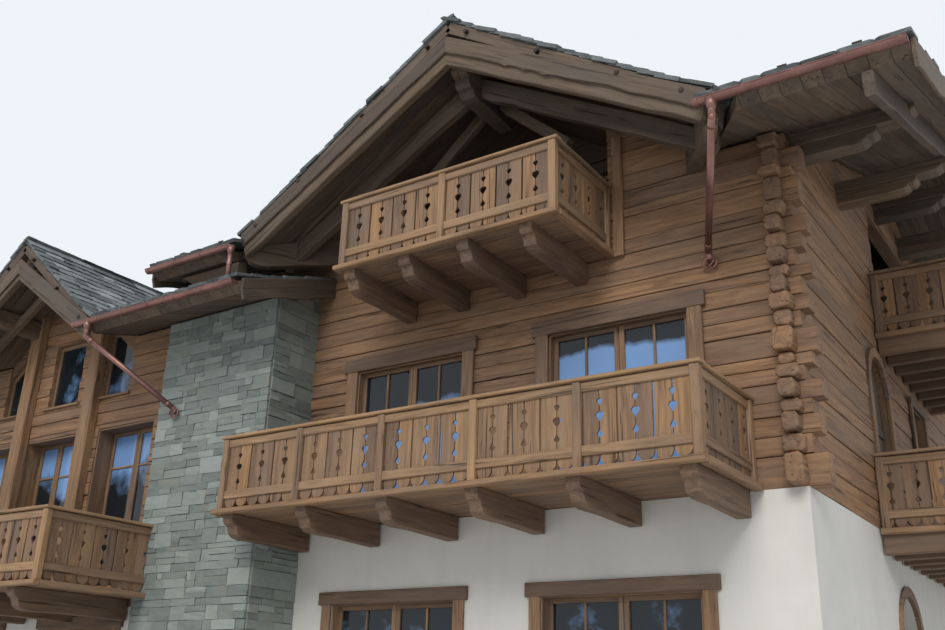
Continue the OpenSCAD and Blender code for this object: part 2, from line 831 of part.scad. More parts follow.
module ground_window_frames() {
    color(wood) {
        for (w = win_ground) frame_x(w, 0, 120);
        for (w = wing_win_ground) frame_x(w, wing_front, 120);
        for (w = rear_windows(rear_win_z[0]))
            translate([0, body_d, 0]) mirror([0, 1, 0]) frame_x(w, 0, 120, 120);
        for (w = wing_rear_windows(wing_z_ground))
            translate([0, wing_front + wing_d, 0]) mirror([0, 1, 0]) frame_x(w, 0, 120, 120);
        for (w = wing_left_windows(wing_z_ground))
            translate([wing_left, 0, 0]) mirror([1, 0, 0]) frame_right(w, 0, 120);
        frame_right(side_ground_window, 0, 120);
    }
}

module first_window_frames() {
    color(wood) {
        for (w = win_first) frame_x([w[0], w[1], w[2], w[3]], -30, 90, 200);
        for (w = wing_win_first) frame_x(w, wing_front, 300, 0);
        for (w = rear_windows(rear_win_z[1]))
            translate([0, body_d + 30, 0]) mirror([0, 1, 0]) frame_x(w, 0, 90, 120);
        for (w = wing_rear_windows(wing_z_first))
            translate([0, wing_front + wing_d, 0]) mirror([0, 1, 0]) frame_x(w, 0, 120, 120);
        for (w = wing_left_windows(wing_z_first))
            translate([wing_left, 0, 0]) mirror([1, 0, 0]) frame_right(w, 0, 120);
        frame_right(side_window, 30, 90);
    }
}

module second_window_frames() {
    color(wood) {
        frame_x(door_loggia, loggia_depth, 60, 0);
        frame_right(side_loggia_door, -side_loggia_depth, 60, 0);
        for (side = [-1 : 1]) along_y([wing_front + 60, wing_front + 140]) difference() {
            gable_window(side);
            gable_window(side, sash);
        }
        for (side = [-1, 1])
            block([axis_x + side * 1950 - 80, axis_x + side * 1950 + 80], [-70, -30], [upper_z, 8750]);
    }
}

glass_t = 24;
// A pane behind a window's frame opening
module pane_x(w, y) {
    block([w[0] + sash, w[1] - sash], [y, y + glass_t], [w[2] + sash, w[3] - sash]);
}
module pane_y(w, x) {
    block([x, x + glass_t], [w[0] + sash, w[1] - sash], [w[2] + sash, w[3] - sash]);
}

module ground_glass() {
    color(glass) {
        for (w = win_ground) pane_x(w, 200);
        for (w = wing_win_ground) pane_x(w, wing_front + 200);
        for (w = rear_windows(rear_win_z[0])) pane_x(w, body_d - 200 - glass_t);
        for (w = wing_rear_windows(wing_z_ground)) pane_x(w, wing_front + wing_d - 200 - glass_t);
        for (w = wing_left_windows(wing_z_ground)) pane_y(w, wing_left + 200);
        pane_y(side_ground_window, -200 - glass_t);
    }
}

module first_glass() {
    color(glass) {
        for (w = win_first) pane_x(w, 140);
        for (w = wing_win_first) pane_x(w, wing_front + 380);
        for (w = rear_windows(rear_win_z[1])) pane_x(w, body_d - 140 - glass_t);
        for (w = wing_rear_windows(wing_z_first)) pane_x(w, wing_front + wing_d - 200 - glass_t);
        for (w = wing_left_windows(wing_z_first)) pane_y(w, wing_left + 200);
        pane_y(side_window, -140 - glass_t);
    }
}

module second_glass() {
    color(glass) {
        pane_x(door_loggia, loggia_depth + 140);
        pane_y(side_loggia_door, -side_loggia_depth - 140 - glass_t);
        for (side = [-1 : 1])
            along_y([wing_front + 90, wing_front + 90 + glass_t]) gable_window(side, sash);
    }
}

module arched_doors() {
    color(wood_dark) {
        arch_y(arch_ground, [-260, -200]);
        arch_y(arch_first, [-160, -100]);
    }
}

// Copper gutters: half-round troughs along the eaves
gutter_r = 75;
module gutter(x, y, z) {
    along_x(x) translate([y, z]) difference() {
        circle(r = gutter_r);
        circle(r = gutter_r - 8);
        translate([-far, 0]) square([2 * far, far]);
    }
}

gutter_y = eave_out + gutter_r;
gutter_z = eave_z - 120;
module gutters() {
    x_open = (ridge_z - roof_t - eave_z) / gable_pitch;
    color(copper) {
        gutter([axis_x + x_open, right_out], -gutter_y, gutter_z);
        gutter([-body_w - left_out, axis_x - x_open], -gutter_y, gutter_z);
        gutter([wing_x + 2100, wing_roof_right], -wing_out - gutter_r, wing_eave_z - 120);
        gutter([wing_roof_left, wing_x - 2100], -wing_out - gutter_r, wing_eave_z - 120);
        gutter([-body_w - left_out, right_out], body_d + gutter_y, gutter_z);
    }
}

// A pipe through a list of points
module pipe(points, r = 45) {
    for (i = [0 : len(points) - 2]) {
        a = points[i];
        b = points[i + 1];
        v = b - a;
        length = norm(v);
        translate(a) rotate([0, acos(v[2] / length), atan2(v[1], v[0])]) cylinder(h = length, r = r);
        translate(b) sphere(r = r + 8);
    }
}

module downpipes() {
    color(copper) {
        pipe([[-190, -gutter_y, gutter_z - gutter_r], [-190, -gutter_y, gutter_z - 260], [-980, -130, 6600],
              [-980, -70, 6500]]);
        pipe([[-11000, -wing_out - gutter_r, 6800], [-11000, -wing_out - gutter_r, 6600],
              [-9920, stone_front - 110, 5500], [-9920, stone_front - 60, 5450]]);
        pipe([[-8060, -gutter_y, gutter_z - gutter_r], [-8060, -gutter_y, wing_top(-gutter_y) + 70]], 38);
    }
}

frame_shift() {
    ground_slab();
    first_floor_deck();
    second_floor_deck();
    wing_floor_deck();
    front_plaster_wall();
    right_plaster_wall();
    rear_plaster_wall();
    left_plaster_wall();
    wing_front_plaster_wall();
    wing_left_plaster_wall();
    wing_rear_plaster_wall();
    stone_bay_wall();
    front_log_wall();
    right_log_wall();
    rear_log_wall();
    left_log_wall();
    log_end_column();
    loggia_walls();
    side_loggia_walls();
    wing_front_wall();
    wing_rear_wall();
    wing_left_wall();
    wing_posts();
    main_roof_front();
    main_roof_rear();
    gable_roof_left();
    gable_roof_right();
    wing_roof_front();
    wing_roof_rear();
    wing_gable_roof();
    gable_verge_boards();
    side_verge_boards();
    wing_verge_boards();
    gable_timbers();
    side_purlins();
    side_rafters();
    eave_rafters();
    lower_balcony_deck();
    lower_balcony_brackets();
    lower_balcony_railing();
    upper_balcony_deck();
    upper_balcony_brackets();
    upper_balcony_railing();
    side_balcony_decks();
    side_balcony_railings();
    wing_balcony_deck();
    wing_balcony_railing();
    ground_window_frames();
    first_window_frames();
    second_window_frames();
    ground_glass();
    first_glass();
    second_glass();
    arched_doors();
    gutters();
    downpipes();
}
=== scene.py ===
"""Looks of the alpine chalet: logs, boards, slates, stones, glass and copper.

Everything is drawn in the layout of the house, in metres: X runs along the front wall, Y goes
back into the house, Z is the height above the ground, and the origin is the front right corner.
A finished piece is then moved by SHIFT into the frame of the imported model.
"""
import logging
import math
import random
from dataclasses import dataclass, field
from enum import Enum
from typing import Callable, Iterable, Optional, Sequence

import bmesh
import bpy
from bmesh import ops
from mathutils import Matrix, Vector, noise


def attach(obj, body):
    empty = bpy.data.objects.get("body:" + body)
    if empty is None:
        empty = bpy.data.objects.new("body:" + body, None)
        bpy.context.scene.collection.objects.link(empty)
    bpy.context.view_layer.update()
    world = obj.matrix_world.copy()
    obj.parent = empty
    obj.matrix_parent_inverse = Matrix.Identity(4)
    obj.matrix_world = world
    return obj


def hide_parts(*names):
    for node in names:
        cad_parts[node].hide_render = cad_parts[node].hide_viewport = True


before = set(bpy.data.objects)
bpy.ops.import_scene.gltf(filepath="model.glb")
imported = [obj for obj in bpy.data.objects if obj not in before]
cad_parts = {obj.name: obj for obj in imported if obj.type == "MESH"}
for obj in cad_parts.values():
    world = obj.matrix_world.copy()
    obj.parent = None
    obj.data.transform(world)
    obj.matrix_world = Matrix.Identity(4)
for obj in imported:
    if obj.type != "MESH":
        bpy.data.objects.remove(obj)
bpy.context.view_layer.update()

log = logging.getLogger("chalet")
Mesh, Edge, Vert = bmesh.types.BMesh, bmesh.types.BMEdge, bmesh.types.BMVert
Node, Socket = bpy.types.Node, bpy.types.NodeSocket
Pair = tuple[float, float]
SHIFT = Vector((4.6, -6.3, 0.0))

# Layout of the walls, floors and roofs
BODY_W, BODY_D = 9.2, 12.6
LOG_BASE, LOG_T = 3.5, 0.22
FIRST_FLOOR, SECOND_FLOOR, WING_FLOOR = 3.68, 7.08, 2.7
RIDGE_Z, EAVE_Z, EAVE_OUT, ROOF_T = 10.65, 7.81, 1.8, 0.32
RIDGE_Y = BODY_D / 2
RIGHT_OUT, LEFT_OUT, GABLE_OUT = 1.97, 0.84, 1.6
AXIS_X, GABLE_HALF, GABLE_PITCH = -4.23, 3.96, 0.66
WING_X, WING_HALF, WING_FRONT, WING_D, WING_T = -13.5, 3.1, -0.75, 8.9, 0.45
WING_LEFT, WING_RIGHT = WING_X - WING_HALF, WING_X + WING_HALF
WING_EAVE_Z, WING_RIDGE_Z, WING_OUT, WING_GABLE_HALF = 7.0, 9.05, 2.1, 2.45
WING_RIDGE_Y = WING_FRONT + WING_D / 2 - 0.05
WING_ROOF_LEFT, WING_ROOF_RIGHT = WING_X - 3.95, -7.55
EAVE_HALF = (RIDGE_Z - ROOF_T - EAVE_Z) / GABLE_PITCH
MAIN_PITCH = (RIDGE_Z - EAVE_Z) / (RIDGE_Y + EAVE_OUT)
WING_PITCH = (WING_RIDGE_Z - WING_EAVE_Z) / (WING_RIDGE_Y + WING_OUT)
WING_GABLE_PITCH = (WING_RIDGE_Z - WING_EAVE_Z) / WING_GABLE_HALF
STONE_LEFT, STONE_RIGHT, STONE_FRONT = -10.4, -7.85, -0.95
COURSES = (.38, .23, .24, .18, .23, .19, .15, .33, .21, .21,
           .24, .16, .22, .21, .23, .21, .35, .15, .26, .24)
STAND_OUT = (.006, .020, .010, .024, .004, .016, .012)
SIDES = (-1, 1)
NO_TOP = 11.0
UP, ACROSS, ALONG = Vector((0, 0, 1)), Vector((0, 1, 0)), Vector((1, 0, 0))


class Side(Enum):
    """The way a wall faces, as the turn of its own frame, where x runs along it and y goes in."""
    FRONT = 0.0
    RIGHT = math.pi / 2
    REAR = math.pi
    LEFT = -math.pi / 2

    def place(self, face: float) -> Matrix:
        """Frame of a wall whose outer face is at that place, along Y for front and rear, or X.

        Args:
            face: where the wall's outer face is.

        Returns:
            The frame, with x along the wall.
        """
        lengthways = self in (Side.FRONT, Side.REAR)
        at = Vector((0, face, 0)) if lengthways else Vector((face, 0, 0))
        return Matrix.Translation(at) @ Matrix.Rotation(self.value, 4, "Z")

    def span(self, low: float, high: float) -> Pair:
        """The same stretch of wall in the wall's own x."""
        return (-high, -low) if self in (Side.REAR, Side.LEFT) else (low, high)


@dataclass(frozen=True)
class Plane:
    """A plane through a point, with what its normal points to cut away."""
    point: Vector
    normal: Vector


@dataclass(frozen=True)
class Pitch:
    """A pair of slopes: the way they fall, the place of their ridge, its height and the fall."""
    axis: str
    peak: float
    ridge: float
    fall: float

    @property
    def way(self) -> Vector:
        """Direction in which the slopes fall."""
        return ALONG if self.axis == "x" else ACROSS

    @property
    def crest(self) -> Vector:
        """Direction of the ridge."""
        return ACROSS if self.axis == "x" else ALONG

    @property
    def stretch(self) -> float:
        """Length of slope for each metre on the level."""
        return math.hypot(1, self.top(self.peak) - self.top(self.peak + 1))

    def top(self, place: float) -> float:
        """Height of the slates at a place."""
        return self.ridge - abs(place - self.peak) * self.fall

    def plane(self, side: int, down: float) -> Plane:
        """Gives the plane that cuts away what is above a depth under one slope.

        Args:
            side: -1 or 1, the side of the ridge.
            down: how far under the slates the plane lies.

        Returns:
            The plane.
        """
        fall = self.top(self.peak) - self.top(self.peak + side)
        return Plane(self.way * self.peak + UP * (self.top(self.peak) - down),
                     (UP + self.way * side * fall).normalized())

    def planes(self, down: float = ROOF_T) -> tuple[Plane, ...]:
        """Undersides of both slopes."""
        return tuple(self.plane(side, down) for side in SIDES)


MAIN = Pitch("y", RIDGE_Y, RIDGE_Z, MAIN_PITCH)
GABLE = Pitch("x", AXIS_X, RIDGE_Z, GABLE_PITCH)
WING = Pitch("y", WING_RIDGE_Y, WING_RIDGE_Z, WING_PITCH)
WING_GABLE = Pitch("x", WING_X, WING_RIDGE_Z, WING_GABLE_PITCH)


# Shaping of small parts, which all have x along their grain


def trim(bm: Mesh, planes: Iterable[Plane]) -> None:
    """Cuts away what lies beyond each plane and closes the cuts.

    Args:
        bm: the part, in the same frame as the planes.
        planes: the planes to cut with, one after another.
    """
    for plane in planes:
        if not bm.verts:
            return
        far = [(v.co - plane.point).dot(plane.normal) > 1e-5 for v in bm.verts]
        if not any(far):
            continue
        cut = ops.bisect_plane(bm, geom=bm.verts[:] + bm.edges[:] + bm.faces[:], dist=1e-5,
                               plane_co=plane.point, plane_no=plane.normal, clear_outer=True)
        rim = [e for e in cut["geom_cut"] if isinstance(e, Edge) and e.is_boundary]
        if rim:
            ops.edgeloop_fill(bm, edges=rim)


def block(size: Sequence[float]) -> Mesh:
    """Opens a plain block about its middle.

    Args:
        size: its length, width and height.

    Returns:
        The block.
    """
    bm = bmesh.new()
    ops.create_cube(bm, size=1.0)
    ops.scale(bm, vec=size, verts=bm.verts)
    return bm


def wear(bm: Mesh, edges: Sequence[Edge], width: float, steps: int = 1) -> None:
    """Wears edges down to a chamfer, or to a round one in more steps."""
    ops.bevel(bm, geom=edges, offset=width, offset_type="OFFSET", affect="EDGES", segments=steps,
              profile=0.5, material=-1)


def span(edge: Edge, axis: int) -> float:
    """How far an edge runs along an axis."""
    return abs(edge.verts[0].co[axis] - edge.verts[1].co[axis])


def new_verts(grown: dict[str, list]) -> list[Vert]:
    """Picks the vertices out of what an extrusion gives."""
    return [g for g in grown["geom"] if isinstance(g, Vert)]


SAWN = {"wave": 0, "chamfer": 0}


def timber(size: Sequence[float], rng: random.Random, wave: float = 0.004,
           chamfer: float = 0.008, step: float = 0.4, waney: float = 0.0) -> Mesh:
    """Hews a straight timber about its middle.

    Args:
        size: length along x, thickness along y and height along z.
        rng: source of the wander of its edges.
        wave: how far the edges wander.
        chamfer: width of the worn edges.
        step: distance between the places where it may bend.
        waney: extra wander of the lower edge, as on a board with a live edge.

    Returns:
        The part, as its own mesh.
    """
    bm = block(size)
    cuts = min(int(size[0] / step), 60)
    if cuts and wave + waney > 0:
        ops.subdivide_edges(bm, edges=[e for e in bm.edges if span(e, 0) > 1e-6], cuts=cuts)
    seed = rng.uniform(0, 500)
    for v in bm.verts:
        y, z = math.copysign(1, v.co.y), math.copysign(1, v.co.z)
        at = v.co.x * 1.1 + seed
        v.co.y += wave * noise.noise(Vector((at, 9 * y, 4 * z)))
        v.co.z += wave * noise.noise(Vector((at + 50, 7 * y, 5 * z)))
        if waney and z < 0:
            v.co.z += waney * (noise.noise(Vector((at * 1.6, 0, 3))) + 0.35
                               + 0.5 * noise.noise(Vector((at * 5, 2, 3))))
    if chamfer:
        wear(bm, [e for e in bm.edges if span(e, 0) > 1e-6], chamfer)
    return bm


def sheet_part(outline: Sequence[Pair], thick: float) -> Mesh:
    """Cuts a flat part from an outline in x and z and gives it its thickness along y.

    Args:
        outline: corners of the outline, counter-clockwise seen from the front.
        thick: thickness, centred on y 0.

    Returns:
        The part, as its own mesh.
    """
    bm = bmesh.new()
    face = bm.faces.new([bm.verts.new((x, -thick / 2, z)) for x, z in outline])
    grown = ops.extrude_face_region(bm, geom=[face])
    ops.translate(bm, vec=(0, thick, 0), verts=new_verts(grown))
    ops.recalc_face_normals(bm, faces=bm.faces)
    return bm


def rod(radius: float, length: float, sides: int = 12, chamfer: float = 0.0) -> Mesh:
    """Turns a round bar along x, about its middle, with its rims worn by the chamfer.

    Args:
        radius: its radius.
        length: its length.
        sides: how many sides it has.
        chamfer: how wide its rims are worn.

    Returns:
        The bar.
    """
    bm = bmesh.new()
    ops.create_cone(bm, cap_ends=True, segments=sides, radius1=radius, radius2=radius, depth=length)
    ops.rotate(bm, verts=bm.verts, matrix=Matrix.Rotation(math.pi / 2, 3, "Y"))
    if chamfer:
        wear(bm, [e for e in bm.edges if len(e.link_faces) == 2 and e.calc_face_angle() > 1.2],
             chamfer)
    return bm


def aim(start: Vector, end: Vector, up: Vector = UP) -> Matrix:
    """Gives the frame whose x runs from one point to the other.

    Args:
        start: first end of the part.
        end: second end of the part.
        up: the way that the part's z leans.

    Returns:
        The frame about the middle between the points.
    """
    along = (end - start).normalized()
    across = up.cross(along).normalized()
    turn = Matrix((along, across, along.cross(across))).transposed()
    return Matrix.Translation((start + end) / 2) @ turn.to_4x4()


def at(x: float, y: float, z: float) -> Matrix:
    """Gives the frame at a place, unturned."""
    return Matrix.Translation((x, y, z))


UPRIGHT = Matrix.Rotation(-math.pi / 2, 4, "Y")
INWARD = Matrix.Rotation(math.pi / 2, 4, "Z")


class Finish(Enum):
    """The finishes of the house, each with the slot of the record that it belongs to."""
    LOGS = "log_wood"
    BOARDS = "board_wood"
    GOLDEN = "board_wood.golden"
    GREYED = "board_wood.greyed"
    SHADED = "dark_wood"
    PLASTER = "plaster"
    STONE = "stone"
    SLATE = "slate"
    COPPER = "copper"
    GLASS = "glass"
    FLOOR = "concrete"
    IRON = "slate.iron"

    @property
    def slot(self) -> str:
        """Name of the record's material slot."""
        return self.value.split(".")[0]


Tone = Optional[float | Callable[[Vector], float]]


def show(name: str, data: bpy.types.ID) -> bpy.types.Object:
    """Puts an object with the given data into the scene.

    Args:
        name: its name.
        data: what it shows.

    Returns:
        The object.
    """
    thing = bpy.data.objects.new(name, data)
    bpy.context.scene.collection.objects.link(thing)
    return thing


@dataclass
class Piece:
    """One visible piece, gathered from small parts and finished as one object."""
    name: str
    finish: Finish
    replaces: tuple[str, ...] = ()
    base: Matrix = field(default_factory=lambda: Matrix.Identity(4))
    rng: random.Random = field(init=False)
    bm: Mesh = field(init=False)

    def __post_init__(self) -> None:
        """Opens the mesh and its attributes: where a point lies along the grain, and the tone."""
        self.rng = random.Random(self.name)
        self.bm = bmesh.new()
        self.bm.verts.layers.float_vector.new("grain")
        self.bm.verts.layers.float.new("tone")

    def add(self, part: Mesh, place: Matrix, planes: Iterable[Plane] = (),
            tone: Tone = None) -> None:
        """Puts a part in its place.

        Args:
            part: the part, with x along its grain; it is freed.
            place: its frame, in the frame that the piece is drawn in.
            planes: planes in the layout that cut it.
            tone: how light it is, from 0 to 1, as one number or by the place in the part, or
                None for a random tone.
        """
        grain = part.verts.layers.float_vector.new("grain")
        tones = part.verts.layers.float.new("tone")
        shift = Vector((self.rng.uniform(0, 90), self.rng.uniform(0, 90), self.rng.uniform(0, 90)))
        level = self.rng.random() if tone is None else tone
        for v in part.verts:
            v[grain] = v.co + shift
            v[tones] = level(v.co) if callable(level) else level
        part.transform(self.base @ place)
        trim(part, planes)
        if part.faces:
            scratch = bpy.data.meshes.new("scratch")
            part.to_mesh(scratch)
            self.bm.from_mesh(scratch)
            bpy.data.meshes.remove(scratch)
        part.free()

    def hew(self, size: Sequence[float], place: Matrix, planes: Iterable[Plane] = (),
            tone: Tone = None, **hewing: float) -> None:
        """Hews a timber of a size and puts it in its place; hewing is what timber() takes."""
        self.add(timber(size, self.rng, **hewing), place, planes, tone)

    def beam(self, start: Sequence[float], end: Sequence[float], thick: float, high: float,
             planes: Iterable[Plane] = (), up: Vector = UP, tone: Optional[float] = None,
             **hewing: float) -> None:
        """Puts a straight timber between two points.

        Args:
            start: middle of its first end.
            end: middle of its second end.
            thick: its size across.
            high: its size upwards.
            planes: planes in the layout that cut it.
            up: the way its height leans.
            tone: how light it is, or None for a random tone.
            hewing: what timber() takes besides its size.
        """
        a, b = Vector(start), Vector(end)
        self.hew(((b - a).length, thick, high), aim(a, b, up), planes, tone, **hewing)

    def make(self, smooth: bool = False) -> bpy.types.Object:
        """Finishes the piece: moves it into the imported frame, dresses it and lets it ride.

        Args:
            smooth: whether its faces are shaded as one round surface.

        Returns:
            The finished object.
        """
        self.bm.transform(Matrix.Translation(SHIFT))
        if smooth:
            for face in self.bm.faces:
                face.smooth = True
        mesh = bpy.data.meshes.new(self.name)
        self.bm.to_mesh(mesh)
        self.bm.free()
        mesh.materials.append(MATERIALS[self.finish])
        piece = show(self.name, mesh)
        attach(piece, "root")
        if self.replaces:
            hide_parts(*self.replaces)
        log.info("%s: %d faces", self.name, len(mesh.polygons))
        return piece


# Materials


@dataclass
class NodeDesk:
    """Places and joins shader nodes in one tree."""
    tree: bpy.types.NodeTree

    def feed(self, socket: Socket, value: object) -> None:
        """Joins an input to another node's output, or sets its value.

        Args:
            socket: the input.
            value: an output or a value.
        """
        if isinstance(value, Socket):
            self.tree.links.new(value, socket)
        else:
            socket.default_value = value

    def settle(self, node: Node, **values: object) -> Node:
        """Sets up a node.

        Args:
            node: the node.
            values: its settings, or its input values by socket name with spaces as underscores.

        Returns:
            The node.
        """
        for key, value in values.items():
            socket = next((s for s in node.inputs if s.name.replace(" ", "_") == key
                           and s.enabled), None)
            if socket is None:
                setattr(node, key, value)
            else:
                self.feed(socket, value)
        return node

    def add(self, kind: str, **values: object) -> Node:
        """Places a node, named without its ShaderNode prefix, and sets it up."""
        return self.settle(self.tree.nodes.new("ShaderNode" + kind), **values)

    def math(self, operation: str, first: object, second: object = 0.5) -> Socket:
        """Joins two values by one operation and gives the result.

        Args:
            operation: its name.
            first: the first value.
            second: the second value.

        Returns:
            The result.
        """
        node = self.add("Math", operation=operation)
        for socket, value in zip(node.inputs, (first, second)):
            self.feed(socket, value)
        return node.outputs[0]

    def scaled(self, value: object, scale: object, start: Optional[float] = None) -> Socket:
        """Multiplies a value by a scale, adds it to a start and gives the result."""
        product = self.math("MULTIPLY", value, scale)
        return product if start is None else self.math("ADD", start, product)

    def mix(self, blend: str, amount: object, a: object, b: object) -> Socket:
        """Mixes two colours by the named blend and gives the result.

        Args:
            blend: its name.
            amount: how much of the second colour is mixed in.
            a: the first colour.
            b: the second colour.

        Returns:
            The result.
        """
        node = self.add("Mix", data_type="RGBA", blend_type=blend)
        for index, value in ((0, amount), (6, a), (7, b)):
            self.feed(node.inputs[index], value)
        return node.outputs[2]

    def stretch(self, vector: Socket, scale: Sequence[float]) -> Socket:
        """Scales a vector and gives the result.

        Args:
            vector: the vector.
            scale: a factor for each axis.

        Returns:
            The result.
        """
        node = self.add("VectorMath", operation="MULTIPLY")
        self.feed(node.inputs[0], vector)
        self.feed(node.inputs[1], scale)
        return node.outputs[0]

    def speckle(self, vector: Socket, scale: Sequence[float], detail: float = 4,
                rough: float = 0.55, warp: float = 0.0) -> Socket:
        """Noise over a stretched vector, as a value from 0 to 1."""
        return self.add("TexNoise", Vector=self.stretch(vector, scale), Scale=1.0, Detail=detail,
                        Roughness=rough, Distortion=warp).outputs[0]

    def band(self, value: Socket, low: float, high: float) -> Socket:
        """Ramps a value from 0 at the low limit to 1 at the high one."""
        return self.add("MapRange", Value=value, From_Min=low, From_Max=high).outputs[0]

    def attribute(self, name: str, output: str) -> Socket:
        """Reads one of a piece's own attributes."""
        return self.add("Attribute", attribute_name=name).outputs[output]

    def emboss(self, shader: Node, height: Socket, depth: float) -> None:
        """Raises the surface by a height, as deep as given in metres."""
        bump = self.add("Bump", Height=height, Strength=1.0, Distance=depth)
        self.feed(shader.inputs["Normal"], bump.outputs[0])


Colour = tuple[float, float, float]


def tint(red: float, green: float, blue: float) -> tuple[float, float, float, float]:
    """Gives a linear colour from one as seen on a screen."""
    return tuple(((c + 0.055) / 1.055) ** 2.4 if c > 0.04 else c / 12.92
                 for c in (red, green, blue)) + (1.0,)


def make_group(name: str, inputs: dict[str, str]) -> tuple[NodeDesk, dict[str, Socket], Node]:
    """Opens a node group that gives a colour, a roughness and a height.

    Args:
        name: its name.
        inputs: its inputs, each with "Color", "Float" or "Vector".

    Returns:
        The desk for its nodes, its inputs by name and the node for its outputs.
    """
    group = bpy.data.node_groups.new(name, "ShaderNodeTree")
    outputs = {"Color": "Color", "Roughness": "Float", "Height": "Float"}
    for way, sockets in (("INPUT", inputs), ("OUTPUT", outputs)):
        for key, kind in sockets.items():
            group.interface.new_socket(name=key, in_out=way, socket_type="NodeSocket" + kind)
    given, out = (group.nodes.new("NodeGroup" + end) for end in ("Input", "Output"))
    return NodeDesk(group), {s.name: s for s in given.outputs if s.name}, out


def wood_group() -> None:
    """Builds the grain of old hewn wood: streaks, fibres, knots and drying cracks."""
    desk, given, out = make_group("OldWood", {"Grain": "Vector", "Tone": "Float", "Light": "Color",
                                              "Dark": "Color", "Grey": "Color", "Wear": "Float"})
    grain, tone = given["Grain"], given["Tone"]
    streak = desk.speckle(grain, (0.9, 9, 11), 5, 0.6, 1.2)
    fibre = desk.speckle(grain, (5, 120, 120), 2, 0.5)
    crack = desk.band(desk.speckle(grain, (0.7, 21, 26), 3, 0.5, 0.6), 0.36, 0.30)
    knot = desk.add("TexVoronoi", Vector=desk.stretch(grain, (0.55, 2.6, 2.9)), Scale=1.0)
    knots = desk.band(knot.outputs["Distance"], 0.085, 0.03)
    blotch = desk.speckle(grain, (0.8, 2.2, 2.2), 3)
    base = desk.mix("MIX", desk.band(streak, 0.30, 0.70), given["Dark"], given["Light"])
    grey = desk.scaled(desk.band(blotch, 0.42, 0.72), given["Wear"])
    base = desk.mix("MIX", grey, base, given["Grey"])
    level = desk.add("HueSaturation", Color=base, Fac=1.0, Hue=desk.scaled(tone, 0.006, 0.497),
                     Saturation=desk.scaled(tone, 0.16, 0.90), Value=desk.scaled(tone, 0.50, 0.72))
    base = desk.mix("MULTIPLY", desk.scaled(fibre, 0.35), level.outputs[0], (0.45, 0.36, 0.30, 1))
    marks = desk.math("MAXIMUM", desk.scaled(crack, 0.75), desk.scaled(knots, 0.7))
    base = desk.mix("MIX", marks, base, (0.022, 0.013, 0.008, 1))
    height = desk.math("SUBTRACT", desk.math("ADD", desk.scaled(streak, 0.6),
                                             desk.scaled(fibre, 0.25)), crack)
    desk.settle(out, Color=base, Roughness=desk.scaled(streak, 0.25, 0.58), Height=height)


def stone_group() -> None:
    """Builds split stone: a tone for each stone, mottling, veins and a rough face."""
    desk, given, out = make_group("SplitStone", {"Grain": "Vector", "Tone": "Float",
                                                 "Light": "Color", "Dark": "Color",
                                                 "Stain": "Color", "Size": "Float"})
    grain = desk.add("VectorMath", operation="SCALE", Vector=given["Grain"],
                     Scale=given["Size"]).outputs[0]
    mottle = desk.speckle(grain, (6, 6, 14), 6, 0.62)
    fine = desk.speckle(grain, (60, 60, 90), 3, 0.6)
    stain = desk.band(desk.speckle(grain, (2.2, 2.2, 3.1), 4, 0.6), 0.50, 0.72)
    mixed = desk.math("ADD", desk.scaled(mottle, 0.5), desk.scaled(given["Tone"], 0.62))
    base = desk.mix("MIX", desk.band(mixed, 0.18, 0.92), given["Dark"], given["Light"])
    base = desk.mix("MIX", desk.scaled(stain, 0.45), base, given["Stain"])
    base = desk.mix("MULTIPLY", desk.scaled(fine, 0.4), base, (0.5, 0.5, 0.5, 1))
    desk.settle(out, Color=base, Roughness=desk.scaled(fine, 0.3, 0.62),
                Height=desk.math("ADD", mottle, desk.scaled(fine, 0.4)))


def open_material(name: str) -> tuple[bpy.types.Material, NodeDesk, Node]:
    """Opens a material and gives it with its desk and its shader.

    Args:
        name: its name.

    Returns:
        The material, its desk and its shader.
    """
    material = bpy.data.materials.new(name)
    material.use_nodes = True
    tree = material.node_tree
    return material, NodeDesk(tree), tree.nodes["Principled BSDF"]


@dataclass(frozen=True)
class GroupFinish:
    """A finish made by one of the shared groups over a piece's grain and tone."""
    name: str
    light: Colour
    dark: Colour
    other: Colour
    amount: float = 1.0
    depth: float = 0.006
    own_grain: bool = True
    group: str = ""
    sockets: tuple[str, ...] = ()

    def build(self) -> bpy.types.Material:
        """Builds the material.

        Returns:
            The material.
        """
        material, desk, shader = open_material(self.name)
        node = desk.add("Group", node_tree=bpy.data.node_groups[self.group])
        if self.own_grain:
            desk.settle(node, Grain=desk.attribute("grain", "Vector"),
                        Tone=desk.attribute("tone", "Fac"))
        else:
            desk.settle(node, Grain=desk.add("TexCoord").outputs["Object"], Tone=0.5)
        values = (*(tint(*c) for c in (self.light, self.dark, self.other)), self.amount)
        desk.settle(node, **dict(zip(self.sockets, values)))
        desk.settle(shader, Base_Color=node.outputs["Color"], Roughness=node.outputs["Roughness"])
        desk.emboss(shader, node.outputs["Height"], self.depth)
        return material


@dataclass(frozen=True)
class Wood(GroupFinish):
    """A wood: its light and dark streaks, the grey of its weathering and how worn it is."""
    group: str = "OldWood"
    sockets: tuple[str, ...] = ("Light", "Dark", "Grey", "Wear")


@dataclass(frozen=True)
class SplitStone(GroupFinish):
    """A stone: its light and dark tones, its stains and the scale of its marks."""
    group: str = "SplitStone"
    sockets: tuple[str, ...] = ("Light", "Dark", "Stain", "Size")


